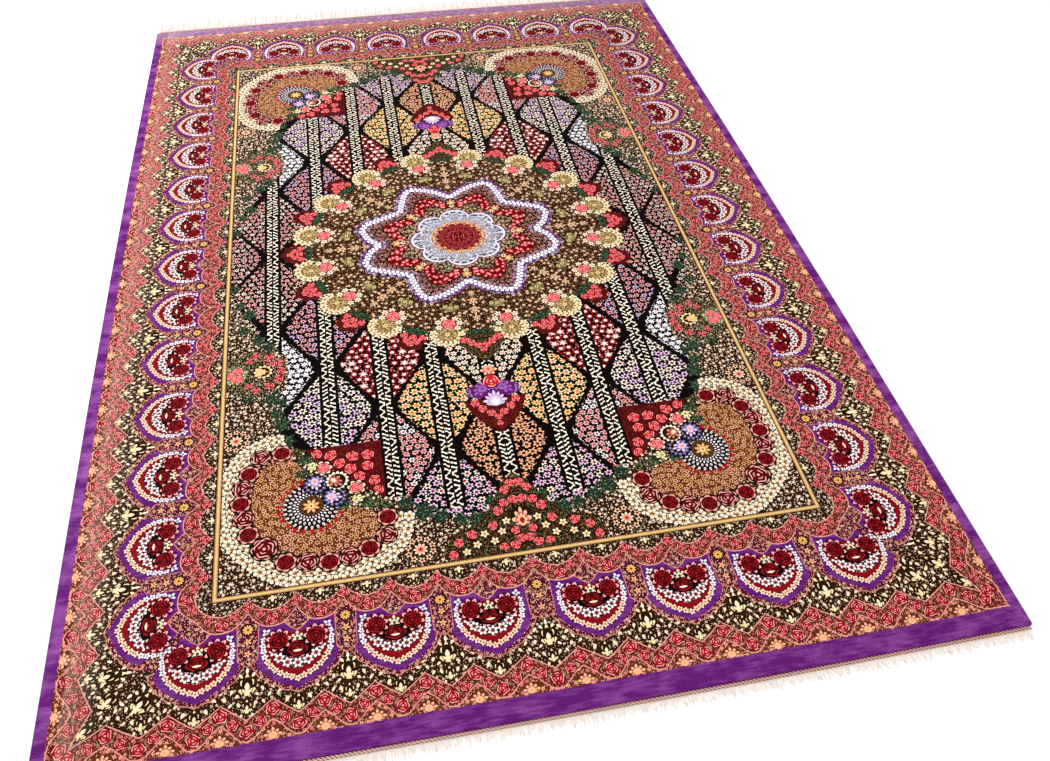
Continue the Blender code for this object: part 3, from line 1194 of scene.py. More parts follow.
@dataclass
class Bouquets(Drawing):
    """The field's loose flowers: the pendants on the middle line, the side bouquets and small palmettes."""

    ringed: tuple[Point, ...] = ((0.235, 1.085), (0.640, 0.700))

    def draw(self) -> None:
        """Draws every loose group."""
        for x, y, size in FOLIAGE:
            self.region(lobed(x, y, size, 6, 0.5, x * 40, 1.1), FOLIAGE_GROUND)
        self.draw_pendant()
        self.draw_end_bunch()
        self.draw_side_bunch()
        for place in self.ringed:
            self.draw_ringed(*place)

    def draw_ringed(self, x: float, y: float, florets_round: int = 10) -> None:
        """Draws a small palmette ringed by florets.

        Args:
            x, y: Its middle.
            florets_round: How many florets ring it.
        """
        self.region(oval(x, y, 0.040, sides=14), OLIVE_GROUND)
        for step in range(florets_round):
            angle = FULL_TURN * step / florets_round
            place = (x + 0.028 * sin(angle), y + 0.028 * cos(angle))
            self.blossom(place, 0.0088, (Dye.PEACH, Dye.WINE, Dye.CREAM), 5, 0.4)
        self.blossom((x, y), 0.018, (Dye.PEACH, Dye.CORAL, Dye.CREAM), 9, 0.3, 0.35)

    def draw_pendant(self) -> None:
        """Draws the group hanging from the medallion on the middle line."""
        olive = [(0.0, 0.43), (0.055, 0.43), (0.062, 0.46), (0.03, 0.51), (0.0, 0.540)]
        maroon = [(0.0, 0.66), (0.055, 0.675), (0.083, 0.665), (0.07, 0.70), (0.045, 0.745), (0.0, 0.785)]
        violet = [(0.0, 0.60), (0.03, 0.61), (0.07, 0.63), (0.068, 0.655), (0.04, 0.668), (0.0, 0.65)]
        self.region(olive, OLIVE_GROUND)
        self.region(maroon, MAROON_GROUND)
        self.region(violet, florets(Dye.VIOLET, (Dye.LAVENDER, Dye.IRIS, Dye.LILAC), 0.008, 0.4, 0.3, 0.3))
        self.roses(PENDANT_ROSES, SCARLET_ROSE)
        self.fan((0.034, 0.640), 0.050, 0.048, 0.9, (Dye.LAVENDER, Dye.IRIS, Dye.VIOLET))
        self.fan((0.0, 0.668), 0.070, 0.058, pi, (Dye.LILAC, Dye.WHITE, Dye.SKY), 13)
        self.fan((0.0, 0.576), 0.052, 0.044, 0.0, (Dye.PEACH, Dye.CORAL, Dye.CLAY))
        self.rose((0.0, 0.610), 0.025, SCARLET_ROSE)

    def draw_end_bunch(self) -> None:
        """Draws the bunch on the middle line next to the end guard."""
        self.region(END_BUNCH, OLIVE_GROUND)
        self.fan((0.0, 1.036), 0.052, 0.056, pi, (Dye.PEACH, Dye.CRIMSON, Dye.CLAY))
        for place in END_FLORETS:
            self.blossom(place, 0.0110, (Dye.CREAM, Dye.OCHRE, Dye.BUFF))
        self.roses(END_ROSES, SCARLET_ROSE)

    def draw_side_bunch(self) -> None:
        """Draws the bunch next to the long side's guard."""
        leaves = florets(Dye.SOOT, (Dye.MOSS, Dye.CLAY, Dye.CREAM), 0.011, 0.3, 0.3, 0.26)
        self.region(lobed(0.600, 0.475, 0.086, 9, 0.12), leaves)
        self.roses(SIDE_ROSES, RED_ROSE)
        lace = florets(Dye.FERN, (Dye.BUFF, Dye.CREAM, Dye.MOSS), 0.009)
        self.region(lobed(0.650, 0.475, 0.036, 7, 0.14), lace)
        self.roses(((0.642, 0.463, 0.0165), (0.642, 0.490, 0.0165), (0.657, 0.477, 0.0150)), PINK_ROSE)
        self.blossom((0.577, 0.474), 0.0270, (Dye.PEACH, Dye.UMBER, Dye.BUFF), 11, 0.16, 0.62)
        self.fan((0.579, 0.474), 0.034, 0.034, -pi / 2, (Dye.AMBER, Dye.STRAW, Dye.CREAM))


PENDANT_ROSES = (
    (0.047, 0.448, 0.0135), (0.029, 0.461, 0.0130), (0.011, 0.474, 0.0125), (0.000, 0.492, 0.0105),
    (0.052, 0.680, 0.0130), (0.036, 0.701, 0.0130), (0.017, 0.718, 0.0120), (0.000, 0.732, 0.0115),
    (0.000, 0.756, 0.0095),
)
END_BUNCH = [
    (0.0, 0.91), (0.03, 0.935), (0.05, 0.975), (0.07, 1.005), (0.10, 1.04), (0.16, 1.06), (0.185, 1.10),
    (0.18, 1.128), (0.0, 1.128),
]
END_FLORETS = ((0.050, 1.070), (0.090, 1.070), (0.036, 1.044), (0.070, 1.092), (0.110, 1.095), (0.135, 1.110))
END_ROSES = (
    (0.010, 0.940, 0.0125), (0.026, 0.958, 0.0125), (0.010, 0.988, 0.0125), (0.034, 0.994, 0.0125),
    (0.050, 1.014, 0.0135), (0.068, 1.052, 0.0125), (0.118, 1.067, 0.0130), (0.150, 1.084, 0.0125),
    (0.165, 1.113, 0.0120), (0.008, 1.095, 0.0125), (0.026, 1.110, 0.0125), (0.020, 1.072, 0.0115),
    (0.052, 1.110, 0.0110),
)
SIDE_ROSES = (
    (0.595, 0.412, 0.0130), (0.563, 0.424, 0.0150), (0.537, 0.448, 0.0150), (0.531, 0.477, 0.0140),
    (0.538, 0.505, 0.0150), (0.562, 0.526, 0.0140), (0.594, 0.538, 0.0130), (0.560, 0.448, 0.0110),
    (0.612, 0.430, 0.0110), (0.614, 0.520, 0.0110),
)
FOLIAGE = (  # x, y and size of the leaf sprays
    (0.215, 0.985, 0.030), (0.100, 1.028, 0.026), (0.135, 1.022, 0.022), (0.255, 0.955, 0.024),
    (0.530, 0.665, 0.028), (0.545, 0.625, 0.022), (0.556, 0.575, 0.028), (0.530, 0.590, 0.020),
    (0.616, 0.245, 0.026), (0.640, 0.205, 0.020), (0.562, 0.385, 0.024), (0.590, 0.355, 0.024),
    (0.612, 0.560, 0.022), (0.180, 1.005, 0.024), (0.518, 0.720, 0.024), (0.655, 0.130, 0.020),
    (0.060, 0.985, 0.020), (0.628, 0.310, 0.020),
)


# ================================================================ shader nodes
class Wire:
    """An output of a node. Arithmetic on it adds Math nodes."""

    def __init__(self, loom: "Loom", socket: bpy.types.NodeSocket) -> None:
        """Keeps the socket and the loom that its node belongs to."""
        self.loom = loom
        self.socket = socket

    def sibling(self, output: int | str) -> "Wire":
        """Another output of the same node."""
        return Wire(self.loom, self.socket.node.outputs[output])

    def __add__(self, other: "Wire | float") -> "Wire":
        """self + other"""
        return self.loom.maths("ADD", self, other)

    def __sub__(self, other: "Wire | float") -> "Wire":
        """self - other"""
        return self.loom.maths("SUBTRACT", self, other)

    def __rsub__(self, other: float) -> "Wire":
        """other - self"""
        return self.loom.maths("SUBTRACT", other, self)

    def __mul__(self, other: "Wire | float") -> "Wire":
        """self * other"""
        return self.loom.maths("MULTIPLY", self, other)

    def __rtruediv__(self, other: float) -> "Wire":
        """other / self"""
        return self.loom.maths("DIVIDE", other, self)

    def __lt__(self, other: "Wire | float") -> "Wire":
        """1 where self is the smaller one, and else 0"""
        return self.loom.maths("LESS_THAN", self, other)

    def __gt__(self, other: "Wire | float") -> "Wire":
        """1 where self is the larger one, and else 0"""
        return self.loom.maths("GREATER_THAN", self, other)

    __radd__ = __add__
    __rmul__ = __mul__


Value = Wire | float | tuple[float, ...]


class Loom:
    """The node tree of one material."""

    def __init__(self, name: str) -> None:
        """Makes the material with a bare Principled shader.

        Args:
            name: The material's name.
        """
        self.material = bpy.data.materials.new(name)
        self.material.use_nodes = True
        self.nodes = self.material.node_tree.nodes
        self.links = self.material.node_tree.links
        self.shader = self.nodes["Principled BSDF"]

    def add(
        self,
        kind: str,
        settings: dict[str, object] | None = None,
        sockets: dict[int | str, Value] | None = None,
        output: int | str = 0,
    ) -> Wire:
        """Adds a node.

        Args:
            kind: The node's type.
            settings: Its own settings.
            sockets: Values or wires for its inputs.
            output: The output to return.

        Returns:
            The wire of that output.
        """
        node = self.nodes.new(kind)
        for name, value in (settings or {}).items():
            setattr(node, name, value)
        for key, value in (sockets or {}).items():
            self.plug(node.inputs[key], value)
        return Wire(self, node.outputs[output])

    def plug(self, socket: bpy.types.NodeSocket, value: Value) -> None:
        """Links a wire to an input, or sets the input's value.

        Args:
            socket: The input.
            value: The wire or the value.
        """
        if isinstance(value, Wire):
            self.links.new(value.socket, socket)
        else:
            socket.default_value = value

    def finish(self, **looks: Value) -> None:
        """Plugs the shader's inputs.

        Args:
            looks: A wire or value for each input, by the input's name in small letters with underscores.
        """
        names = {socket.name.lower().replace(" ", "_"): socket for socket in self.shader.inputs}
        for name, value in looks.items():
            self.plug(names[name], value)

    def maths(self, operation: str, *values: Value) -> Wire:
        """A Math node."""
        return self.add("ShaderNodeMath", {"operation": operation}, dict(enumerate(values)))

    def vector(self, operation: str, *values: Value) -> Wire:
        """A Vector Math node."""
        return self.add("ShaderNodeVectorMath", {"operation": operation}, dict(enumerate(values)))

    def scaled(self, vector: Value, scale: Value) -> Wire:
        """A vector or colour times a number."""
        return self.add("ShaderNodeVectorMath", {"operation": "SCALE"}, {0: vector, 3: scale})

    def mix(self, share: Value, under: Value, over: Value) -> Wire:
        """Colour over laid on colour under by a share."""
        return self.add("ShaderNodeMix", {"data_type": "RGBA"}, {0: share, 6: under, 7: over}, 2)

    def clamp(self, value: Wire) -> Wire:
        """A value kept between 0 and 1."""
        return self.add("ShaderNodeClamp", sockets={0: value})

    def attribute(self, name: str, output: str = "Color") -> Wire:
        """One of the mesh's own attributes."""
        return self.add("ShaderNodeAttribute", {"attribute_name": name}, output=output)

    def split(self, vector: Wire) -> tuple[Wire, Wire, Wire]:
        """A vector's three parts."""
        first = self.add("ShaderNodeSeparateXYZ", sockets={0: vector})
        return first, first.sibling(1), first.sibling(2)

    def noise(self, vector: Value, scale: float | Triple, detail: float = 1.0) -> Wire:
        """Smooth noise from 0 to 1.

        Args:
            vector: The place.
            scale: The noise's scale, or one for each axis.
            detail: How many finer layers it has.

        Returns:
            The noise.
        """
        if isinstance(scale, tuple):
            vector, scale = self.vector("MULTIPLY", vector, scale), 1.0
        sockets = {"Vector": vector, "Scale": scale, "Detail": detail}
        return self.add("ShaderNodeTexNoise", {"noise_dimensions": "2D"}, sockets)

    def dice(self, vector: Value, dimensions: str = "2D", output: str = "Value") -> Wire:
        """White noise: chance numbers that change from one whole place to the next."""
        settings = {"noise_dimensions": dimensions}
        return self.add("ShaderNodeTexWhiteNoise", settings, {"Vector": vector}, output)

    def cells(self, vector: Value, randomness: float) -> Wire:
        """The distance to the nearest of scattered points, one to each unit square."""
        sockets = {"Vector": vector, "Scale": 1.0, "Randomness": randomness}
        return self.add("ShaderNodeTexVoronoi", {"voronoi_dimensions": "2D"}, sockets)

    def bump(self, height: Wire, strength: float, depth: float) -> Wire:
        """A normal that follows a height."""
        return self.add("ShaderNodeBump", sockets={"Strength": strength, "Distance": depth, "Height": height})


@dataclass(frozen=True)
class SilkPile:
    """The clipped silk pile's finish, shared by every stitch.

    Attributes:
        grain, nap, abrash: How much the colour varies by knot, along the nap and by dye lot.
        pale: What the colour fades towards on the left and at the far end: a painted sheen where light catches
            the silk.
    """

    knot: float = 0.0013
    roughness: float = 0.55
    gloss_drift: float = 0.24
    gloss_nap: float = 0.15
    sheen: float = 0.005
    sheen_roughness: float = 0.35
    sheen_tint: Form = (1.0, 0.93, 0.95, 1.0)
    specular: float = 0.02
    grain: float = 0.30
    nap: float = 0.20
    abrash: float = 0.12
    nap_scale: Triple = (190.0, 34.0, 0.0)
    drift_scale: Triple = (0.7, 9.0, 0.0)
    cloud_scale: float = 4.0
    # The painted sheen: its colour, and where and how strongly it is laid on.
    pale: Dye = Dye.IVORY
    pale_left: float = 0.09
    left_from: float = -0.88
    left_slope: float = -12.0
    left_end: float = -0.955
    pale_far: float = 0.18
    far_from: float = 1.38
    far_slope: float = 8.5
    bump: float = 0.25
    bump_depth: float = 0.0006

    def dress(self, loom: Loom, colour: Wire, plan: Wire) -> None:
        """Finishes a material: knots, nap, colour drift and a painted sheen over a colour, with the silk's
        gloss.

        Args:
            loom: The material's nodes.
            colour: The pattern's colour.
            plan: The place on the rug as it was woven.
        """
        grain = loom.dice(loom.vector("FLOOR", loom.scaled(plan, 1 / self.knot)))
        nap = loom.noise(plan, self.nap_scale, 2.0)
        drift = loom.noise(plan, self.drift_scale, 3.0)
        cloud = loom.noise(plan, self.cloud_scale, 2.0)
        tone = (grain - 0.5) * self.grain + (nap - 0.5) * self.nap + (drift - 0.5) * self.abrash + 1.0
        x, y, _ = loom.split(plan)
        # Painted sheen: the colour is paled on the left and at the far end, where light catches the silk.
        left = loom.clamp((x - self.left_from) * self.left_slope) * (x > self.left_end)
        far = loom.clamp((y - self.far_from) * self.far_slope)
        colour = loom.mix(left * self.pale_left + far * self.pale_far, colour, self.pale.linear)
        loom.finish(
            base_color=loom.scaled(colour, tone),
            roughness=(cloud - 0.5) * self.gloss_drift + (nap - 0.5) * self.gloss_nap + self.roughness,
            normal=loom.bump(nap * 0.7 + grain * 0.3, self.bump, self.bump_depth),
            sheen_weight=self.sheen,
            sheen_roughness=self.sheen_roughness,
            sheen_tint=self.sheen_tint,
            specular_ior_level=self.specular,
        )


class PatternLoom(Loom):
    """The material of one stitch, drawn from the colours and places that the pile's triangles carry."""

    far_band = 1.452  # from here on the band gets pale blots of painted sheen
    shade = 0.15  # share of the ground's colour that is left in a flower's dark edge
    row_stretch = 1.12  # rows to one flower's distance
    slip_scale = 2.1  # leaves to one floret's distance

    def __init__(self, stitch: Stitch) -> None:
        """Adds the wires that every stitch reads.

        Args:
            stitch: The stitch to draw.
        """
        super().__init__(f"silk_pile_{stitch.name.lower()}")
        self.stitch = stitch
        self.ground, self.ink_a, self.ink_b, self.ink_c = (
            self.attribute(name) for name in ("ground", "ink_a", "ink_b", "ink_c")
        )
        self.shadow = self.scaled(self.ground, self.shade)
        self.plan = self.attribute("plan", "Vector")
        form = self.attribute("form")
        self.form = (*self.split(form), form.sibling("Alpha"))
        self.across, self.up, self.seed = self.split(self.attribute("spot", "Vector"))

    def build(self, finish: SilkPile) -> bpy.types.Material:
        """The finished material. Its colour comes from the method that bears the stitch's name."""
        finish.dress(self, getattr(self, self.stitch.name.lower())(), self.plan)
        return self.material

    def polar(self, across: Wire, up: Wire) -> tuple[Wire, Wire]:
        """The distance from the middle, and the direction."""
        return self.maths("SQRT", across * across + up * up), self.maths("ARCTAN2", up, across)

    def wave(self, angle: Wire, kind: str = "COSINE") -> Wire:
        """A wave from -1 to 1."""
        return self.maths(kind, angle)

    def laid(self, under: Wire, *layers: tuple[Value, Wire]) -> Wire:
        """Colours laid over one another, each by its own share."""
        for share, over in layers:
            under = self.mix(share, under, over)
        return under

    def pick(self, chance: Wire, share: Value) -> Wire:
        """The third ink for a share of the chances, and the first ink for the others."""
        return self.mix(chance < share, self.ink_a, self.ink_c)

    def plain(self) -> Wire:
        """The first colour alone."""
        return self.ink_a

    def brushed(self) -> Wire:
        """Plain pile with pale strokes, partly streaky yarn and partly painted sheen; more painted sheen at
        the far end.

        Returns:
            The colour.
        """
        strokes = self.noise(self.plan, (15.0, 24.0, 0.0), 4.0)
        fine = self.noise(self.plan, (26.0, 180.0, 0.0), 2.0)
        # Past the far band's start, pale blots of painted sheen are laid on.
        far_sheen = self.split(self.plan)[1] > self.far_band
        sheen_blots = self.noise(self.plan, 70.0, 2.0)
        share = (strokes - 0.38) * 2.6 * self.form[0] + (fine - 0.5) * 0.70
        share = share + far_sheen * ((sheen_blots - 0.5) * 4.0 + 0.10)
        return self.mix(self.clamp(share), self.ground, self.ink_a)

    def flower(self, dx: Wire, dy: Wire, spin: Wire, under: Wire, ink: Wire) -> Wire:
        """A six-petalled flower at a cell's middle.

        Args:
            dx, dy: The place from the cell's middle.
            spin: How far the flower is turned, as a share of a turn.
            under: The colour under it.
            ink: Its petals' colour.

        Returns:
            The colour with the flower on it.
        """
        reach, angle = self.polar(dx, dy)
        size = self.form[3]
        edge = size * (self.wave(angle * 6.0 + spin * FULL_TURN) * 0.26 + 0.80)
        return self.laid(
            under,
            (reach < edge + 0.07, self.shadow),
            (reach < edge, ink),
            (reach < size * 0.44, self.ink_b),
        )

    def florets(self) -> Wire:
        """Scattered small flowers with slips of leaf between them.

        Returns:
            The colour.
        """
        size, share, leaf_size, radius = self.form
        place = self.scaled(self.vector("ABSOLUTE", self.plan), 1 / size)
        near = self.cells(place, 0.85)
        dx, dy, _ = self.split(self.vector("SUBTRACT", place, near.sibling("Position")))
        chance, spin, _ = self.split(near.sibling("Color"))
        slips = self.scaled(place, self.slip_scale)
        slip = self.cells(slips, 0.9)
        sx, sy, _ = self.split(self.vector("SUBTRACT", slips, slip.sibling("Position")))
        lean, keep, _ = self.split(slip.sibling("Color"))
        wide, tall = self.wave(lean * FULL_TURN), self.wave(lean * FULL_TURN, "SINE")
        leaf = self.polar(sx * wide + sy * tall, (sy * wide - sx * tall) * 2.3)[0] < leaf_size
        colour = self.mix(leaf * (near > radius + 0.06), self.ground, self.pick(keep, 0.5))
        return self.flower(dx, dy, spin, colour, self.pick(chance, share))

    def rows(self) -> Wire:
        """Small flowers in staggered rows.

        Returns:
            The colour.
        """
        size, share, spot_size, _ = self.form
        x, y, _ = self.split(self.scaled(self.vector("ABSOLUTE", self.plan), 1 / size))
        y_row = y * self.row_stretch
        row = self.maths("FLOOR", y_row)
        shifted = x + self.maths("MODULO", row, 2.0) * 0.5
        cell = self.add("ShaderNodeCombineXYZ", sockets={0: self.maths("FLOOR", shifted), 1: row})
        chance, jog, spin = self.split(self.dice(cell, output="Color"))
        dx = self.maths("FRACT", shifted) - 0.5 + (jog - 0.5) * 0.30
        dy = self.maths("FRACT", y_row) - 0.5 + (chance - 0.5) * 0.26
        spots = self.cells(self.add("ShaderNodeCombineXYZ", sockets={0: x * 2.0, 1: y * 2.0}), 0.9)
        colour = self.mix(spots < spot_size, self.ground, self.ink_c)
        return self.flower(dx, dy, spin, colour, self.pick(chance, share))

    def leaves(self) -> Wire:
        """Two ranks of curled leaves that climb a column on either side of its stem.

        Returns:
            The colour.
        """
        side = (self.across > 0.0) * 2.0 - 1.0
        climb = self.up + (side > 0.0) * 0.5
        cell = self.add("ShaderNodeCombineXYZ", sockets={0: self.maths("FLOOR", climb), 1: side, 2: 0.5})
        lean, slide, grow = self.split(self.dice(cell, "3D", "Color"))
        flip = ((lean > 0.38) * 2.0 - 1.0) * side
        u = (self.maths("ABSOLUTE", self.across) - 0.53 + (slide - 0.5) * 0.18) * 2.0
        v = self.maths("FRACT", climb) - 0.5 + (grow - 0.5) * 0.24
        curl = self.wave(u * 2.6, "SINE") * flip * (grow * 0.22 + 0.14)
        reach = self.maths("ABSOLUTE", u)
        thick = self.maths("ABSOLUTE", v + curl) < 0.11 + reach * 0.11 + slide * 0.06
        return self.mix(thick * (reach < 0.74 + lean * 0.16), self.ground, self.ink_a)

    def blossom(self) -> Wire:
        """One open flower.

        Returns:
            The colour.
        """
        reach, angle = self.polar(self.across, self.up)
        petals, notch, core, _ = self.form
        wave = self.wave(angle * petals + self.seed * FULL_TURN)
        edge = 0.90 - notch * (0.5 - wave * 0.5)
        return self.laid(
            self.ground,
            (reach < edge + 0.10, self.shadow),
            (reach < edge, self.ink_c),
            (reach < edge - 0.16, self.ink_a),
            ((wave < -0.7) * (reach > core) * 0.7, self.shadow),
            (reach < core, self.ink_b),
            (reach < core * 0.4, self.shadow),
        )

    def rose(self) -> Wire:
        """One full rose: broken pale rings on a deep colour.

        Returns:
            The colour.
        """
        reach, angle = self.polar(self.across, self.up)
        twist = self.seed * 40.0
        wobble = self.wave(angle * 5.0 + twist, "SINE") * 0.09 + self.wave(angle * 2.0 - twist, "SINE") * 0.07
        ring = reach * (1 + wobble)
        edge = self.wave(angle * 7.0 + twist) * 0.06 + 0.84
        broken = self.wave(angle * 3.0 + twist * 1.7, "SINE")
        dark = (ring > 0.56) * (ring < 0.64) + (ring > 0.22) * (ring < 0.30)
        return self.laid(
            self.ground,
            (reach < edge + 0.10, self.shadow),
            (reach < edge, self.ink_a),
            ((ring > 0.71) * (ring < 0.82) * (broken > -0.65), self.ink_b),
            ((ring > 0.37) * (ring < 0.46) * (broken > -0.25), self.ink_b),
            (dark * (broken < 0.6), self.ink_c),
            (reach < 0.13, self.ink_b),
        )

    def fan(self) -> Wire:
        """One palmette: rays that spread from a heart near its foot, with a scalloped crown.

        Returns:
            The colour.
        """
        rays, notch, heart, _ = self.form
        rise = (self.up + 0.45) * 0.70
        reach, angle = self.polar(self.across, rise)
        corners = self.maths("ABSOLUTE", self.across) + self.maths("ABSOLUTE", rise)
        reach = reach * 0.62 + corners * 0.33
        wave = self.wave((angle - pi / 2) * rays)
        edge = 0.88 - notch * (0.5 - wave * 0.5)
        return self.laid(
            self.ground,
            (reach < edge + 0.08, self.shadow),
            (reach < edge, self.ink_a),
            ((wave < -0.45) * (reach < edge) * (reach > 0.36), self.ink_c),
            ((reach < 0.56) * (reach > 0.48), self.ink_c),
            (reach < heart, self.ink_b),
        )


# ================================================================ the pile
@dataclass
class RugForm:
    """The rug's shape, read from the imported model: its corners, its slightly bowed edges and its rolled rim.

    Attributes:
        side_belly, end_belly: How far the sides and the ends stand out at their middles.
        half: Half the width and half the length at the corners.
    """

    side_belly: float = 0.010
    end_belly: float = 0.008
    corner_radius: float = 0.007
    rim_width: float = 0.0026
    rim_drop: float = 0.0017
    pile_base: float = 0.0015
    half: Point = (0.0, 0.0)
    top: float = 0.0

    def __post_init__(self) -> None:
        """Reads the sizes of the slab."""
        _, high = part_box("rug_body")
        self.half = (high.x - self.side_belly, high.y - self.end_belly)
        self.top = high.z

    def quarter(self, inset: float = 0.0) -> Path:
        """The quarter's outline with its rounded corner.

        Args:
            inset: How far it is moved in.

        Returns:
            The outline's points.
        """
        width, length = self.half[0] - inset, self.half[1] - inset
        radius = self.corner_radius - inset
        corner = [
            (width - radius + radius * cos(angle), length - radius + radius * sin(angle))
            for angle in np.linspace(0, pi / 2, 5)
        ]
        return [(0.0, 0.0), (width, 0.0), *corner, (0.0, length)]

    def bowed(self, plan: np.ndarray) -> np.ndarray:
        """The woven places moved out to the bowed edges.

        Args:
            plan: The places as they were woven.

        Returns:
            The places on the rug.
        """
        share = np.abs(plan) / np.array(self.half)
        bellies = [self.side_belly * (1 - share[:, 1] ** 2), self.end_belly * (1 - share[:, 0] ** 2)]
        return plan + np.sign(plan) * np.stack(bellies, axis=1) * share**4

    def heights(self, plan: np.ndarray) -> np.ndarray:
        """The height of the pile, lower over the rolled rim.

        Args:
            plan: The places as they were woven.

        Returns:
            The height at each place.
        """
        corner = np.abs(plan) - (np.array(self.half) - self.corner_radius)
        outside = np.linalg.norm(np.maximum(corner, 0.0), axis=1) + np.minimum(corner.max(axis=1), 0.0)
        inside = np.clip((self.corner_radius - outside) / self.rim_width, 0.0, 1.0)
        return self.top - self.rim_drop * (1 - np.sqrt(1 - (1 - inside) ** 2))

    def end(self, x: float) -> float:
        """How far from the middle the pile ends at x."""
        return self.half[1] + self.end_belly * (1 - (x / self.half[0]) ** 2)


def new_piece(
    name: str, points: list, faces: list[Face], materials: list[bpy.types.Material], smooth: bool = False
) -> bpy.types.Object:
    """Puts a mesh in the scene.

    Args:
        name: The piece's name.
        points, faces: The mesh.
        materials: Its materials, the first of them on every face.
        smooth: Whether it is shaded smooth.

    Returns:
        The piece.
    """
    mesh = bpy.data.meshes.new(name)
    mesh.from_pydata(points, [], faces, shade_flat=not smooth)
    for material in materials:
        mesh.materials.append(material)
    piece = bpy.data.objects.new(name, mesh)
    bpy.context.scene.collection.objects.link(piece)
    return piece


def tube(base: int, rings: int, sides: int, flip: bool = False) -> list[Face]:
    """The faces of a closed tube.

    Args:
        base: The number of its first point.
        rings: How many rings of points it has.
        sides: How many points a ring has.
        flip: Whether the faces are turned round.

    Returns:
        Its side faces and its two ends.
    """
    faces = []
    for ring in range(rings - 1):
        for side in range(sides):
            a, b = base + ring * sides + side, base + ring * sides + (side + 1) % sides
            faces.append((a, b, b + sides, a + sides))
    last = base + (rings - 1) * sides
    faces += [tuple(range(base, base + sides))[::-1], tuple(range(last, last + sides))]
    return [face[::-1] for face in faces] if flip else faces


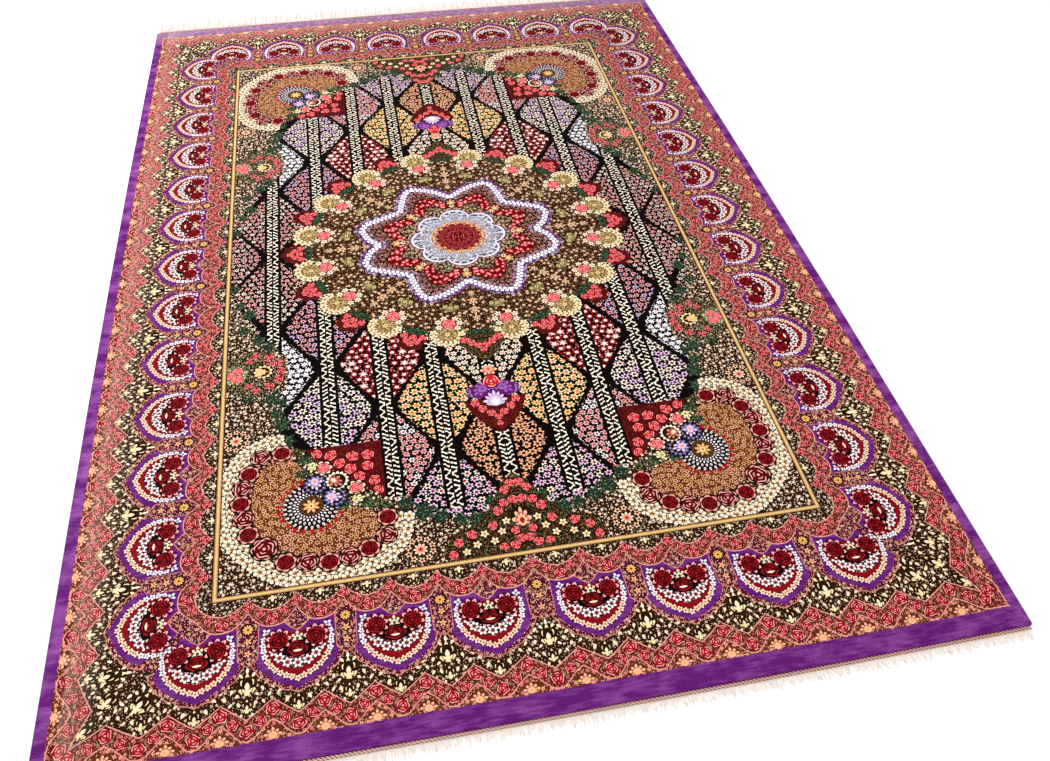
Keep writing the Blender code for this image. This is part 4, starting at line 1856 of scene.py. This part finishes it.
@dataclass
class PileSlab:
    """One closed slab of pile: the part of the pattern inside a zone, over some of the quarters.

    Attributes:
        name: The slab's name.
        zone: The low and the high corner of its part of the quarter.
        signs_x, signs_y: The quarters that it covers.
        axis, rows: Its map is cut across this axis into this many rows.
        map_fill, map_margin: The share of the map that the pattern fills, and where it begins.
        wall_fill, wall_margin: The same for the walls.
    """

    name: str
    zone: tuple[Point, Point]
    signs_x: tuple[int, ...]
    signs_y: tuple[int, ...]
    axis: int
    rows: int
    map_fill: float = 0.98
    map_margin: float = 0.015
    wall_fill: float = 0.008
    wall_margin: float = 0.002

    def build(
        self, cartoon: Cartoon, cut: Cut, form: RugForm, materials: list[bpy.types.Material]
    ) -> bpy.types.Object:
        """Makes the slab.

        Args:
            cartoon: The design.
            cut: The design, cut into triangles.
            form: The rug's shape.
            materials: The pile's materials in the order of the stitches.

        Returns:
            The slab's object.
        """
        low, high = self.zone
        middles = cut.points[cut.triangles].mean(axis=1)
        chosen = np.flatnonzero(((middles > low) & (middles < high)).all(axis=1))
        quarters = [(sx, sy) for sx in self.signs_x for sy in self.signs_y]
        plan = np.concatenate([cut.points * np.array(signs) for signs in quarters])
        turned = [cut.triangles[chosen][:, :: sx * sy] for sx, sy in quarters]
        triangles = np.concatenate([part + index * len(cut.points) for index, part in enumerate(turned)])
        cells = np.round(plan / 1e-7).astype(np.int64)
        _, first, merged = np.unique(cells, axis=0, return_index=True, return_inverse=True)
        used, triangles = np.unique(merged.reshape(-1)[triangles], return_inverse=True)
        triangles, plan = triangles.reshape(-1, 3), plan[first[used]]
        rim = boundary(triangles)
        top = np.column_stack([form.bowed(plan), form.heights(plan)])
        foot = np.column_stack([form.bowed(plan[rim]), np.full(len(rim), form.pile_base)])
        base = len(plan) + np.arange(len(rim))
        walls = np.stack([np.roll(rim, -1), rim, base, np.roll(base, -1)], axis=1)
        faces = [*triangles.tolist(), *walls.tolist(), base[::-1].tolist()]
        slab = new_piece(self.name, np.concatenate([top, foot]).tolist(), faces, materials)
        owners = np.tile(chosen, len(quarters))
        self.paint(slab.data, cartoon.patches, cut, owners, np.concatenate([plan, plan[rim]]))
        return slab

    def paint(
        self, mesh: bpy.types.Mesh, patches: list[Patch], cut: Cut, owners: np.ndarray, plan: np.ndarray
    ) -> None:
        """Gives each triangle its colours, its stitch and its place in its motif, and the slab its own map.

        Args:
            mesh: The slab's mesh.
            patches: The design's patches.
            cut: The design, cut into triangles.
            owners: The number in the cut of each triangle of the slab.
            plan: Every point's place as it was woven.
        """
        rest, shown = len(mesh.polygons) - len(owners), 3 * len(owners)
        top = cut.top[owners]
        grounds = np.array([(patch.ground or Dye.BLACK).linear for patch in patches])
        inks = np.array([[dye.linear for dye in patch.inks] for patch in patches])
        forms = np.array([patch.form for patch in patches], float)
        colours = {"ground": grounds[cut.region[owners]], "form": forms[top]}
        colours |= {name: inks[top, index] for index, name in enumerate(("ink_a", "ink_b", "ink_c"))}
        for name, values in colours.items():
            walls = np.tile(np.array(Dye.PLUM.linear), (rest, 1))
            self.store(mesh, name, "FLOAT_COLOR", "FACE", "color", np.concatenate([values, walls]))
        places = np.column_stack([plan, np.zeros(len(plan))])
        self.store(mesh, "plan", "FLOAT_VECTOR", "POINT", "vector", places)
        stitches = np.array([patch.stitch.value for patch in patches])
        slots = np.concatenate([stitches[top], np.zeros(rest, int)])
        mesh.polygons.foreach_set("material_index", slots.astype(np.int32))
        corners = np.empty(len(mesh.loops), np.int32)
        mesh.loops.foreach_get("vertex_index", corners)
        spots = np.zeros((len(corners), 3))
        spots[:shown] = self.spots(patches, np.repeat(top, 3), np.abs(plan[corners[:shown]]))
        self.store(mesh, "spot", "FLOAT_VECTOR", "CORNER", "vector", spots)
        mesh.uv_layers.new(name="OFBake").data.foreach_set("uv", self.flat_map(plan[corners], shown).ravel())

    def store(
        self, mesh: bpy.types.Mesh, name: str, kind: str, domain: str, part: str, values: np.ndarray
    ) -> None:
        """Keeps values in an attribute of the mesh, of a kind, for each member of a domain."""
        mesh.attributes.new(name, kind, domain).data.foreach_set(part, values.ravel())

    def spots(self, patches: list[Patch], top: np.ndarray, places: np.ndarray) -> np.ndarray:
        """Where each corner lies in its motif.

        Args:
            patches: The design's patches.
            top: The patch of each corner.
            places: The place of each corner in the quarter.

        Returns:
            Each corner's place across and up its motif, and the motif's seed.
        """
        table = np.array([(*patch.centre, patch.turn, *patch.reach, patch.seed) for patch in patches])[top]
        offset = places - table[:, :2]
        lean, rise = np.sin(table[:, 2]), np.cos(table[:, 2])
        across = (offset[:, 0] * rise - offset[:, 1] * lean) / table[:, 3]
        up = (offset[:, 0] * lean + offset[:, 1] * rise) / table[:, 4]
        return np.column_stack([across, up, table[:, 5]])

    def flat_map(self, places: np.ndarray, shown: int) -> np.ndarray:
        """The slab seen from above, in rows that nearly fill the map, with its walls in a small corner.

        Args:
            places: Each corner's place as it was woven.
            shown: How many corners belong to the pattern.

        Returns:
            Each corner's place on the map.
        """
        low, high = places.min(axis=0), places.max(axis=0)
        share = (places - low) / (high - low)
        top = share[:shown]
        middles = top.reshape(-1, 3, 2).mean(axis=1)[:, self.axis]
        row = np.repeat(np.floor(middles * self.rows), 3)
        flat = top.copy()
        flat[:, self.axis] = top[:, self.axis] * self.rows - row
        flat[:, 1 - self.axis] = (top[:, 1 - self.axis] * self.map_fill + row) / self.rows
        walls = share[shown:] * self.wall_fill + self.wall_margin
        return np.concatenate([flat * self.map_fill + self.map_margin, walls])


def boundary(triangles: np.ndarray) -> np.ndarray:
    """The closed loop of points round a flat mesh with no holes.

    Args:
        triangles: The mesh's triangles.

    Returns:
        The points' numbers, in the order in which the triangles turn.
    """
    ends = np.concatenate([triangles[:, [0, 1]], triangles[:, [1, 2]], triangles[:, [2, 0]]])
    both = {tuple(pair) for pair in ends.tolist()}
    after = {a: b for a, b in both if (b, a) not in both}
    start = min(after)
    loop, here = [start], after[start]
    while here != start:
        loop.append(here)
        here = after[here]
    return np.array(loop)


@dataclass
class Pile:
    """The whole pile, as two halves of the field, the two long borders and the two end borders.

    Attributes:
        side_band, band_corner: The inner corner of the long side's violet band, which gets more painted sheen.
        cuts: How many parts a long border's quarter is cut into.
    """

    form: RugForm
    finish: SilkPile = SilkPile()
    side_band: float = 0.95
    band_corner: float = 1.43
    cuts: int = 3

    def draw(self, cartoon: Cartoon) -> Border:
        """Draws the design.

        Args:
            cartoon: What it is drawn on.

        Returns:
            The border, whose guard line parts field and border.
        """
        ground = Drawing(cartoon)
        for inset in (0.0, 0.0003, 0.0010, self.form.rim_width):
            ground.region(self.form.quarter(inset), EDGE_PILE)
        width, length = self.form.half
        inner = [(self.side_band, self.band_corner)]
        # The long sides' violet band, with the strongest painted sheen.
        ground.region([(self.side_band, 0.0), (width, 0.0), (width, length), *inner], SIDE_PILE)
        border = Border(cartoon)
        for part in (Trellis(cartoon), Medallion(cartoon), Bouquets(cartoon), CornerRoundel(cartoon), border):
            part.draw()
        return border

    def build(self) -> list[bpy.types.Object]:
        """Makes the slabs.

        Returns:
            The slabs' objects.
        """
        cartoon = Cartoon()
        border = self.draw(cartoon)
        reach = border.guard_width / 2 + border.guard_shadow
        width, length = (place + reach for place in border.guard)
        half, fold = self.form.half, self.form.half[1] / self.cuts
        cartoon.seams += [((width, length), (width, half[1])), ((width, fold), (half[0], fold))]
        cut = cartoon.cut()
        LOG.info("cartoon: %d patches, %d triangles in the quarter", len(cartoon.patches), len(cut.triangles))
        materials = [PatternLoom(stitch).build(self.finish) for stitch in Stitch]
        inner, beyond = ((0.0, 0.0), (width, length)), ((width, 0.0), half)
        above = ((0.0, length), (width, half[1]))
        slabs = []
        for side, sign in (("left", -1), ("right", 1)):
            slabs.append(PileSlab(f"pile_field_{side}", inner, (sign,), (1, -1), 1, 2))
            slabs.append(PileSlab(f"pile_border_{side}", beyond, (sign,), (1, -1), 1, self.cuts))
        for side, sign in (("near", -1), ("far", 1)):
            slabs.append(PileSlab(f"pile_border_{side}", above, (1, -1), (sign,), 0, 2))
        return [slab.build(cartoon, cut, self.form, materials) for slab in slabs]


# ================================================================ foundation, ends and fringes
@dataclass(frozen=True)
class PlainSilk:
    """Silk yarn without pile, in two shades. Its fibres are counted to a metre, across and along it."""

    name: str
    colour: Dye
    shade: Dye
    roughness: float = 0.5
    sheen: float = 0.2
    fibres: Triple = (900.0, 90.0, 0.0)
    bump: float = 0.3
    bump_depth: float = 0.0004

    def material(self) -> bpy.types.Material:
        """The yarn's material, with fibres along Y.

        Returns:
            The material.
        """
        loom = Loom(self.name)
        place = loom.add("ShaderNodeTexCoord", output="Object")
        fibres = loom.noise(place, self.fibres, 2.0)
        share = fibres * 0.6 + loom.noise(place, 25.0, 2.0) * 0.4
        loom.finish(
            base_color=loom.mix(share, self.shade.linear, self.colour.linear),
            roughness=(fibres - 0.5) * 0.2 + self.roughness,
            normal=loom.bump(fibres, self.bump, self.bump_depth),
            sheen_weight=self.sheen,
            specular_ior_level=0.3,
        )
        return loom.material


@dataclass
class Foundation:
    """The knotted foundation under the pile, whose underside shows the back of the knots.

    Attributes:
        inset: How far it lies inside the pile's edge.
        longest: The longest straight length along its bowed edges.
        field_end, band_start: The corners at which the border begins, and the violet band.
    """

    form: RugForm
    thickness: float = 0.0016
    inset: float = 0.0002
    longest: float = 0.12
    field_end: Point = (0.675, 1.134)
    band_start: Point = (0.975, 1.452)

    def build(self) -> bpy.types.Object:
        """Makes the foundation as one slab.

        Returns:
            The slab.
        """
        corner = self.form.quarter(self.inset)[1:-1]
        outline = []
        for sx, sy in ((1, 1), (-1, 1), (-1, -1), (1, -1)):
            outline += [(sx * x, sy * y) for x, y in corner][:: sx * sy]
        fine = []
        for (x0, y0), (x1, y1) in zip(outline, outline[1:] + outline[:1]):
            count = max(1, ceil(hypot(x1 - x0, y1 - y0) / self.longest))
            fine += [(x0 + (x1 - x0) * step / count, y0 + (y1 - y0) * step / count) for step in range(count)]
        flat = self.form.bowed(np.array(fine))
        points = [(x, y, height) for height in (0.0, self.thickness) for x, y in flat]
        return new_piece("woven_back", points, tube(0, 2, len(flat)), [self.material()])

    def outside(self, loom: Loom, x: Wire, y: Wire, corner: Point) -> Wire:
        """1 beyond a corner's x or y, and else 0."""
        return loom.maths("MAXIMUM", x > corner[0], y > corner[1])

    def material(self) -> bpy.types.Material:
        """The back of the knots: the border's and field's colours, dulled, in rows.

        Returns:
            The material.
        """
        loom = Loom("silk_back")
        place = loom.add("ShaderNodeTexCoord", output="Object")
        x, y, _ = loom.split(loom.vector("ABSOLUTE", place))
        chance = loom.split(loom.cells(loom.scaled(place, 70.0), 0.8).sibling("Color"))[0]
        field_colour = loom.mix(chance, Dye.UMBER.linear, Dye.ROSE.linear)
        border_colour = loom.mix(chance, Dye.CLAY.linear, Dye.TAN.linear)
        colour = loom.mix(self.outside(loom, x, y, self.field_end), field_colour, border_colour)
        colour = loom.mix(self.outside(loom, x, y, self.band_start), colour, Dye.VIOLET.linear)
        rows = loom.noise(place, (500.0, 900.0, 0.0))
        loom.finish(
            base_color=loom.scaled(colour, rows * 0.5 + 0.75),
            normal=loom.bump(rows, 0.4, 0.0004),
            roughness=0.7,
        )
        return loom.material


STRIP_PROFILE = (  # reach and height across the flat-woven strip
    (0.0, 0.0), (0.0, 0.0017), (0.0008, 0.0021), (0.0018, 0.0017), (0.0028, 0.0020), (0.0038, 0.0016),
    (0.0048, 0.0019), (0.0058, 0.0014), (0.0068, 0.0016), (0.0079, 0.0011), (0.0080, 0.0),
)


@dataclass
class EndFinish:
    """One end of the rug: the flat-woven strip, the two twined lines along it and the fringe of warp ends.

    Attributes:
        facing: 1 at the far end and -1 at the near one.
        rings: How many straight lengths a strand has.
        curl, uneven: How far a strand may sway, and the share by which strands differ in length.
        shade: The darker of the fringe's two shades.
        flat_depth: The strip's width with its turned edge, as flat cloth; not used.
        inset: How far inside the strip's ends the twining and the fringe stop.
        root: How far the strands reach under the strip's edge.
        twined_rows: How far out the two twined lines lie.
        stitch_lean: How far a stitch's ends lie from its middle, along and across the line.
    """

    form: RugForm
    side: str
    facing: int
    strands: int
    rings: int
    yarn: float
    curl: float
    seed: int
    shade: Dye
    uneven: float
    parting: float = 0.0003
    strip_width: float = 0.008
    strip_height: float = 0.0021
    flat_depth: float = 0.0101
    strip_columns: int = 160
    inset: float = 0.002
    root: float = 0.002
    twined_rows: Point = (0.0014, 0.0054)
    stitch_pitch: float = 0.0042
    stitch_height: float = 0.0011
    stitch_width: float = 0.0015
    stitch_lean: Point = (0.0026, 0.0012)
    stitch_rings: int = 5
    stitch_sides: int = 6

    @property
    def node(self) -> str:
        """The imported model's node that the end stands for."""
        return f"fringe_{self.side}"

    def out(self, x: float, reach: float) -> float:
        """The y of a place at some reach beyond the parting."""
        return self.facing * (self.form.end(x) + self.parting + reach)

    def build(self) -> None:
        strip, twining, fringe = self.build_strip(), self.build_twining(), self.build_fringe()
        for piece in (strip, twining, fringe):
            declare(piece, self.node)

    def build_strip(self) -> bpy.types.Object:
        """Makes the flat-woven strip with a ridge for each pick of weft.

        Returns:
            The strip.
        """
        half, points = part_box(self.node)[1].x, []
        for column in range(self.strip_columns + 1):
            x = half * (2 * column / self.strip_columns - 1)
            points += [(x, self.out(x, reach), height) for reach, height in STRIP_PROFILE]
        faces = tube(0, self.strip_columns + 1, len(STRIP_PROFILE), self.facing > 0)
        silk = PlainSilk("silk_strip", Dye.IVORY, Dye.SILVER, 0.6, 0.2, (60.0, 1500.0, 0.0))
        return new_piece(f"end_strip_{self.side}", points, faces, [silk.material()])

    def stitch(self, x: float, reach: float) -> list[Triple]:
        """One slanted stitch, thick at its middle.

        Args:
            x: Its middle along the line.
            reach: How far out it lies.

        Returns:
            Its points, ring by ring.
        """
        points = []
        for ring in range(self.stitch_rings):
            along = ring / (self.stitch_rings - 1) * 2 - 1
            fat = max(0.12, 1 - along * along) ** 0.5
            middle = self.out(x, reach) + self.stitch_lean[1] * along * self.facing
            for side in range(self.stitch_sides):
                angle = FULL_TURN * side / self.stitch_sides
                across = self.stitch_width * fat * cos(angle)
                up = self.strip_height + 0.0002 + self.stitch_height * fat * sin(angle)
                points.append((x + self.stitch_lean[0] * along - across * 0.35, middle + across, up))
        return points

    def build_twining(self) -> bpy.types.Object:
        """Makes the two twined lines, of dark red and rose stitches in turn.

        Returns:
            Both lines as one piece.
        """
        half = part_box(self.node)[1].x - self.inset
        count = int(2 * half / self.stitch_pitch)
        points, faces, slots = [], [], []
        for index in range(2 * count):
            place, row = divmod(index, 2)
            stitch = tube(len(points), self.stitch_rings, self.stitch_sides)
            points += self.stitch(-half + (place + 0.5) * 2 * half / count, self.twined_rows[row])
            faces += stitch
            slots += [(place + row) % 2] * len(stitch)
        dark = PlainSilk("silk_cord_dark", Dye.RUST, Dye.MAROON).material()
        cream = PlainSilk("silk_cord_cream", Dye.PEACH, Dye.ROSE).material()
        lines = new_piece(f"twined_line_{self.side}", points, faces, [dark, cream], smooth=True)
        lines.data.polygons.foreach_set("material_index", np.array(slots, np.int32))
        return lines

    def build_fringe(self) -> bpy.types.Object:
        """Makes the fringe as fine three-sided strands lying on the floor, each with its own sway.

        Returns:
            The fringe.
        """
        low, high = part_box(self.node)
        half = high.x - self.inset
        reach = max(abs(low.y), abs(high.y)) - self.form.end(0.0) - self.strip_width
        chance = random.Random(self.seed)
        points, faces = [], []
        for index in range(self.strands):
            x = -half + (index + chance.random()) * 2 * half / self.strands
            start = self.strip_width - self.root
            length = reach * (0.98 - self.uneven * chance.random())
            lock = sin(x * 310.0) + sin(x * 137.0 + 1.0)
            sway = self.curl * (0.5 * lock + chance.uniform(-0.8, 0.8))
            bend = chance.uniform(-0.5, 0.5) * self.curl
            height = self.yarn * (1.0 + 1.6 * chance.random())
            faces += tube(len(points), self.rings + 1, 3, self.facing > 0)
            for ring in range(self.rings + 1):
                share = ring / self.rings
                cx = x + sway * share**1.4 + bend * sin(pi * share)
                cy = self.out(x, start + length * share)
                cz = height * (1 - 0.65 * share) + self.yarn * 0.3
                thick = self.yarn * (1 - 0.45 * share)
                for side in range(3):
                    angle = FULL_TURN * side / 3 + pi / 2
                    points.append((cx + thick * cos(angle), cy, max(0.0001, cz + thick * sin(angle))))
        silk = PlainSilk("silk_fringe", Dye.WHITE, self.shade, 0.45, 0.1)
        return new_piece(f"warp_{self.node}", points, faces, [silk.material()], smooth=True)


# ================================================================ studio
@dataclass
class Studio:
    """A pale floor, soft light and a camera at the photograph's angle.

    Attributes:
        focal_pixels, image_width: The focal length and the picture's width in the photograph's pixels.
        floor_half, floor_drop: Half the floor's width, and how far it lies under the rug.
        lamps: Each lamp's name, place, size and power.
    """

    camera_place: Triple = (-0.2348, -2.2375, 1.747)
    camera_right: Triple = (0.98250, -0.18604, 0.00913)
    camera_down: Triple = (-0.12915, -0.71574, -0.68632)
    camera_ahead: Triple = (0.13422, 0.67313, -0.72724)
    focal_pixels: float = 925.6
    image_width: float = 1050.0
    sensor: float = 36.0
    floor_half: float = 30.0
    floor_drop: float = 0.0002
    ambient: float = 0.55
    lamps: tuple[tuple[str, Triple, float, float], ...] = (
        ("lamp_overhead", (0.2, -0.6, 4.5), 4.0, 100.0),
        ("lamp_far_left", (-4.0, 2.5, 3.0), 3.0, 270.0),
    )

    def build(self) -> None:
        """Sets up everything that isn't the rug."""
        self.build_floor()
        self.build_lights()
        self.build_camera()

    def build_floor(self) -> None:
        """Lays the floor just under the rug."""
        loom, far = Loom("pale_floor"), self.floor_half
        loom.finish(
            base_color=(0.95, 0.95, 0.95, 1.0),
            emission_color=(1.0, 1.0, 1.0, 1.0),
            emission_strength=0.12,
            roughness=0.9,
            specular_ior_level=0.1,
        )
        points = [(-far, -far, 0), (far, -far, 0), (far, far, 0), (-far, far, 0)]
        floor = new_piece("floor", points, [(0, 1, 2, 3)], [loom.material])
        floor.location.z = -self.floor_drop

    def build_lights(self) -> None:
        """Hangs the lamps and lights the surroundings."""
        world = bpy.data.worlds.new("studio")
        world.use_nodes = True
        sky = world.node_tree.nodes["Background"].inputs
        sky["Color"].default_value = (1.0, 1.0, 1.0, 1.0)
        sky["Strength"].default_value = self.ambient
        bpy.context.scene.world = world
        for name, place, size, power in self.lamps:
            light = bpy.data.lights.new(name, "AREA")
            light.size = size
            light.energy = power
            lamp = bpy.data.objects.new(name, light)
            lamp.location = place
            lamp.rotation_euler = (-Vector(place)).to_track_quat("-Z", "Y").to_euler()
            bpy.context.scene.collection.objects.link(lamp)

    def build_camera(self) -> None:
        """Places the camera."""
        lens = bpy.data.cameras.new("camera")
        lens.sensor_width = self.sensor
        lens.lens = self.focal_pixels * self.sensor / self.image_width
        lens.clip_start, lens.clip_end = 0.01, 100.0
        camera = bpy.data.objects.new("camera", lens)
        axes = (Vector(self.camera_right), -Vector(self.camera_down), -Vector(self.camera_ahead))
        turn = Matrix(axes).transposed().to_quaternion().to_matrix().to_4x4()
        camera.matrix_world = Matrix.Translation(self.camera_place) @ turn
        bpy.context.scene.collection.objects.link(camera)
        bpy.context.scene.camera = camera


def declare(piece: bpy.types.Object, node: str) -> None:
    """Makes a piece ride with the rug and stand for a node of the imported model.

    Args:
        piece: The piece.
        node: The node.
    """
    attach(piece, BODY)
    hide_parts(node)
    LOG.info("%s: %d faces, for %s", piece.name, len(piece.data.polygons), node)


def main() -> None:
    """Builds the studio, the pile, the foundation and both ends, and declares each piece."""
    logging.basicConfig(level=logging.INFO, format="%(name)s %(message)s")
    bpy.context.scene.view_settings.view_transform = "Standard"
    Studio().build()
    form = RugForm()
    back, slabs = Foundation(form).build(), Pile(form).build()
    for piece in (back, *slabs):
        declare(piece, "rug_body")
    EndFinish(form, "near", -1, 3000, 4, 0.00046, 0.0030, 5, Dye.IVORY, 0.50).build()
    EndFinish(form, "far", 1, 1900, 7, 0.00045, 0.0060, 6, Dye.FAWN, 0.18).build()


if __name__ == "__main__":
    main()
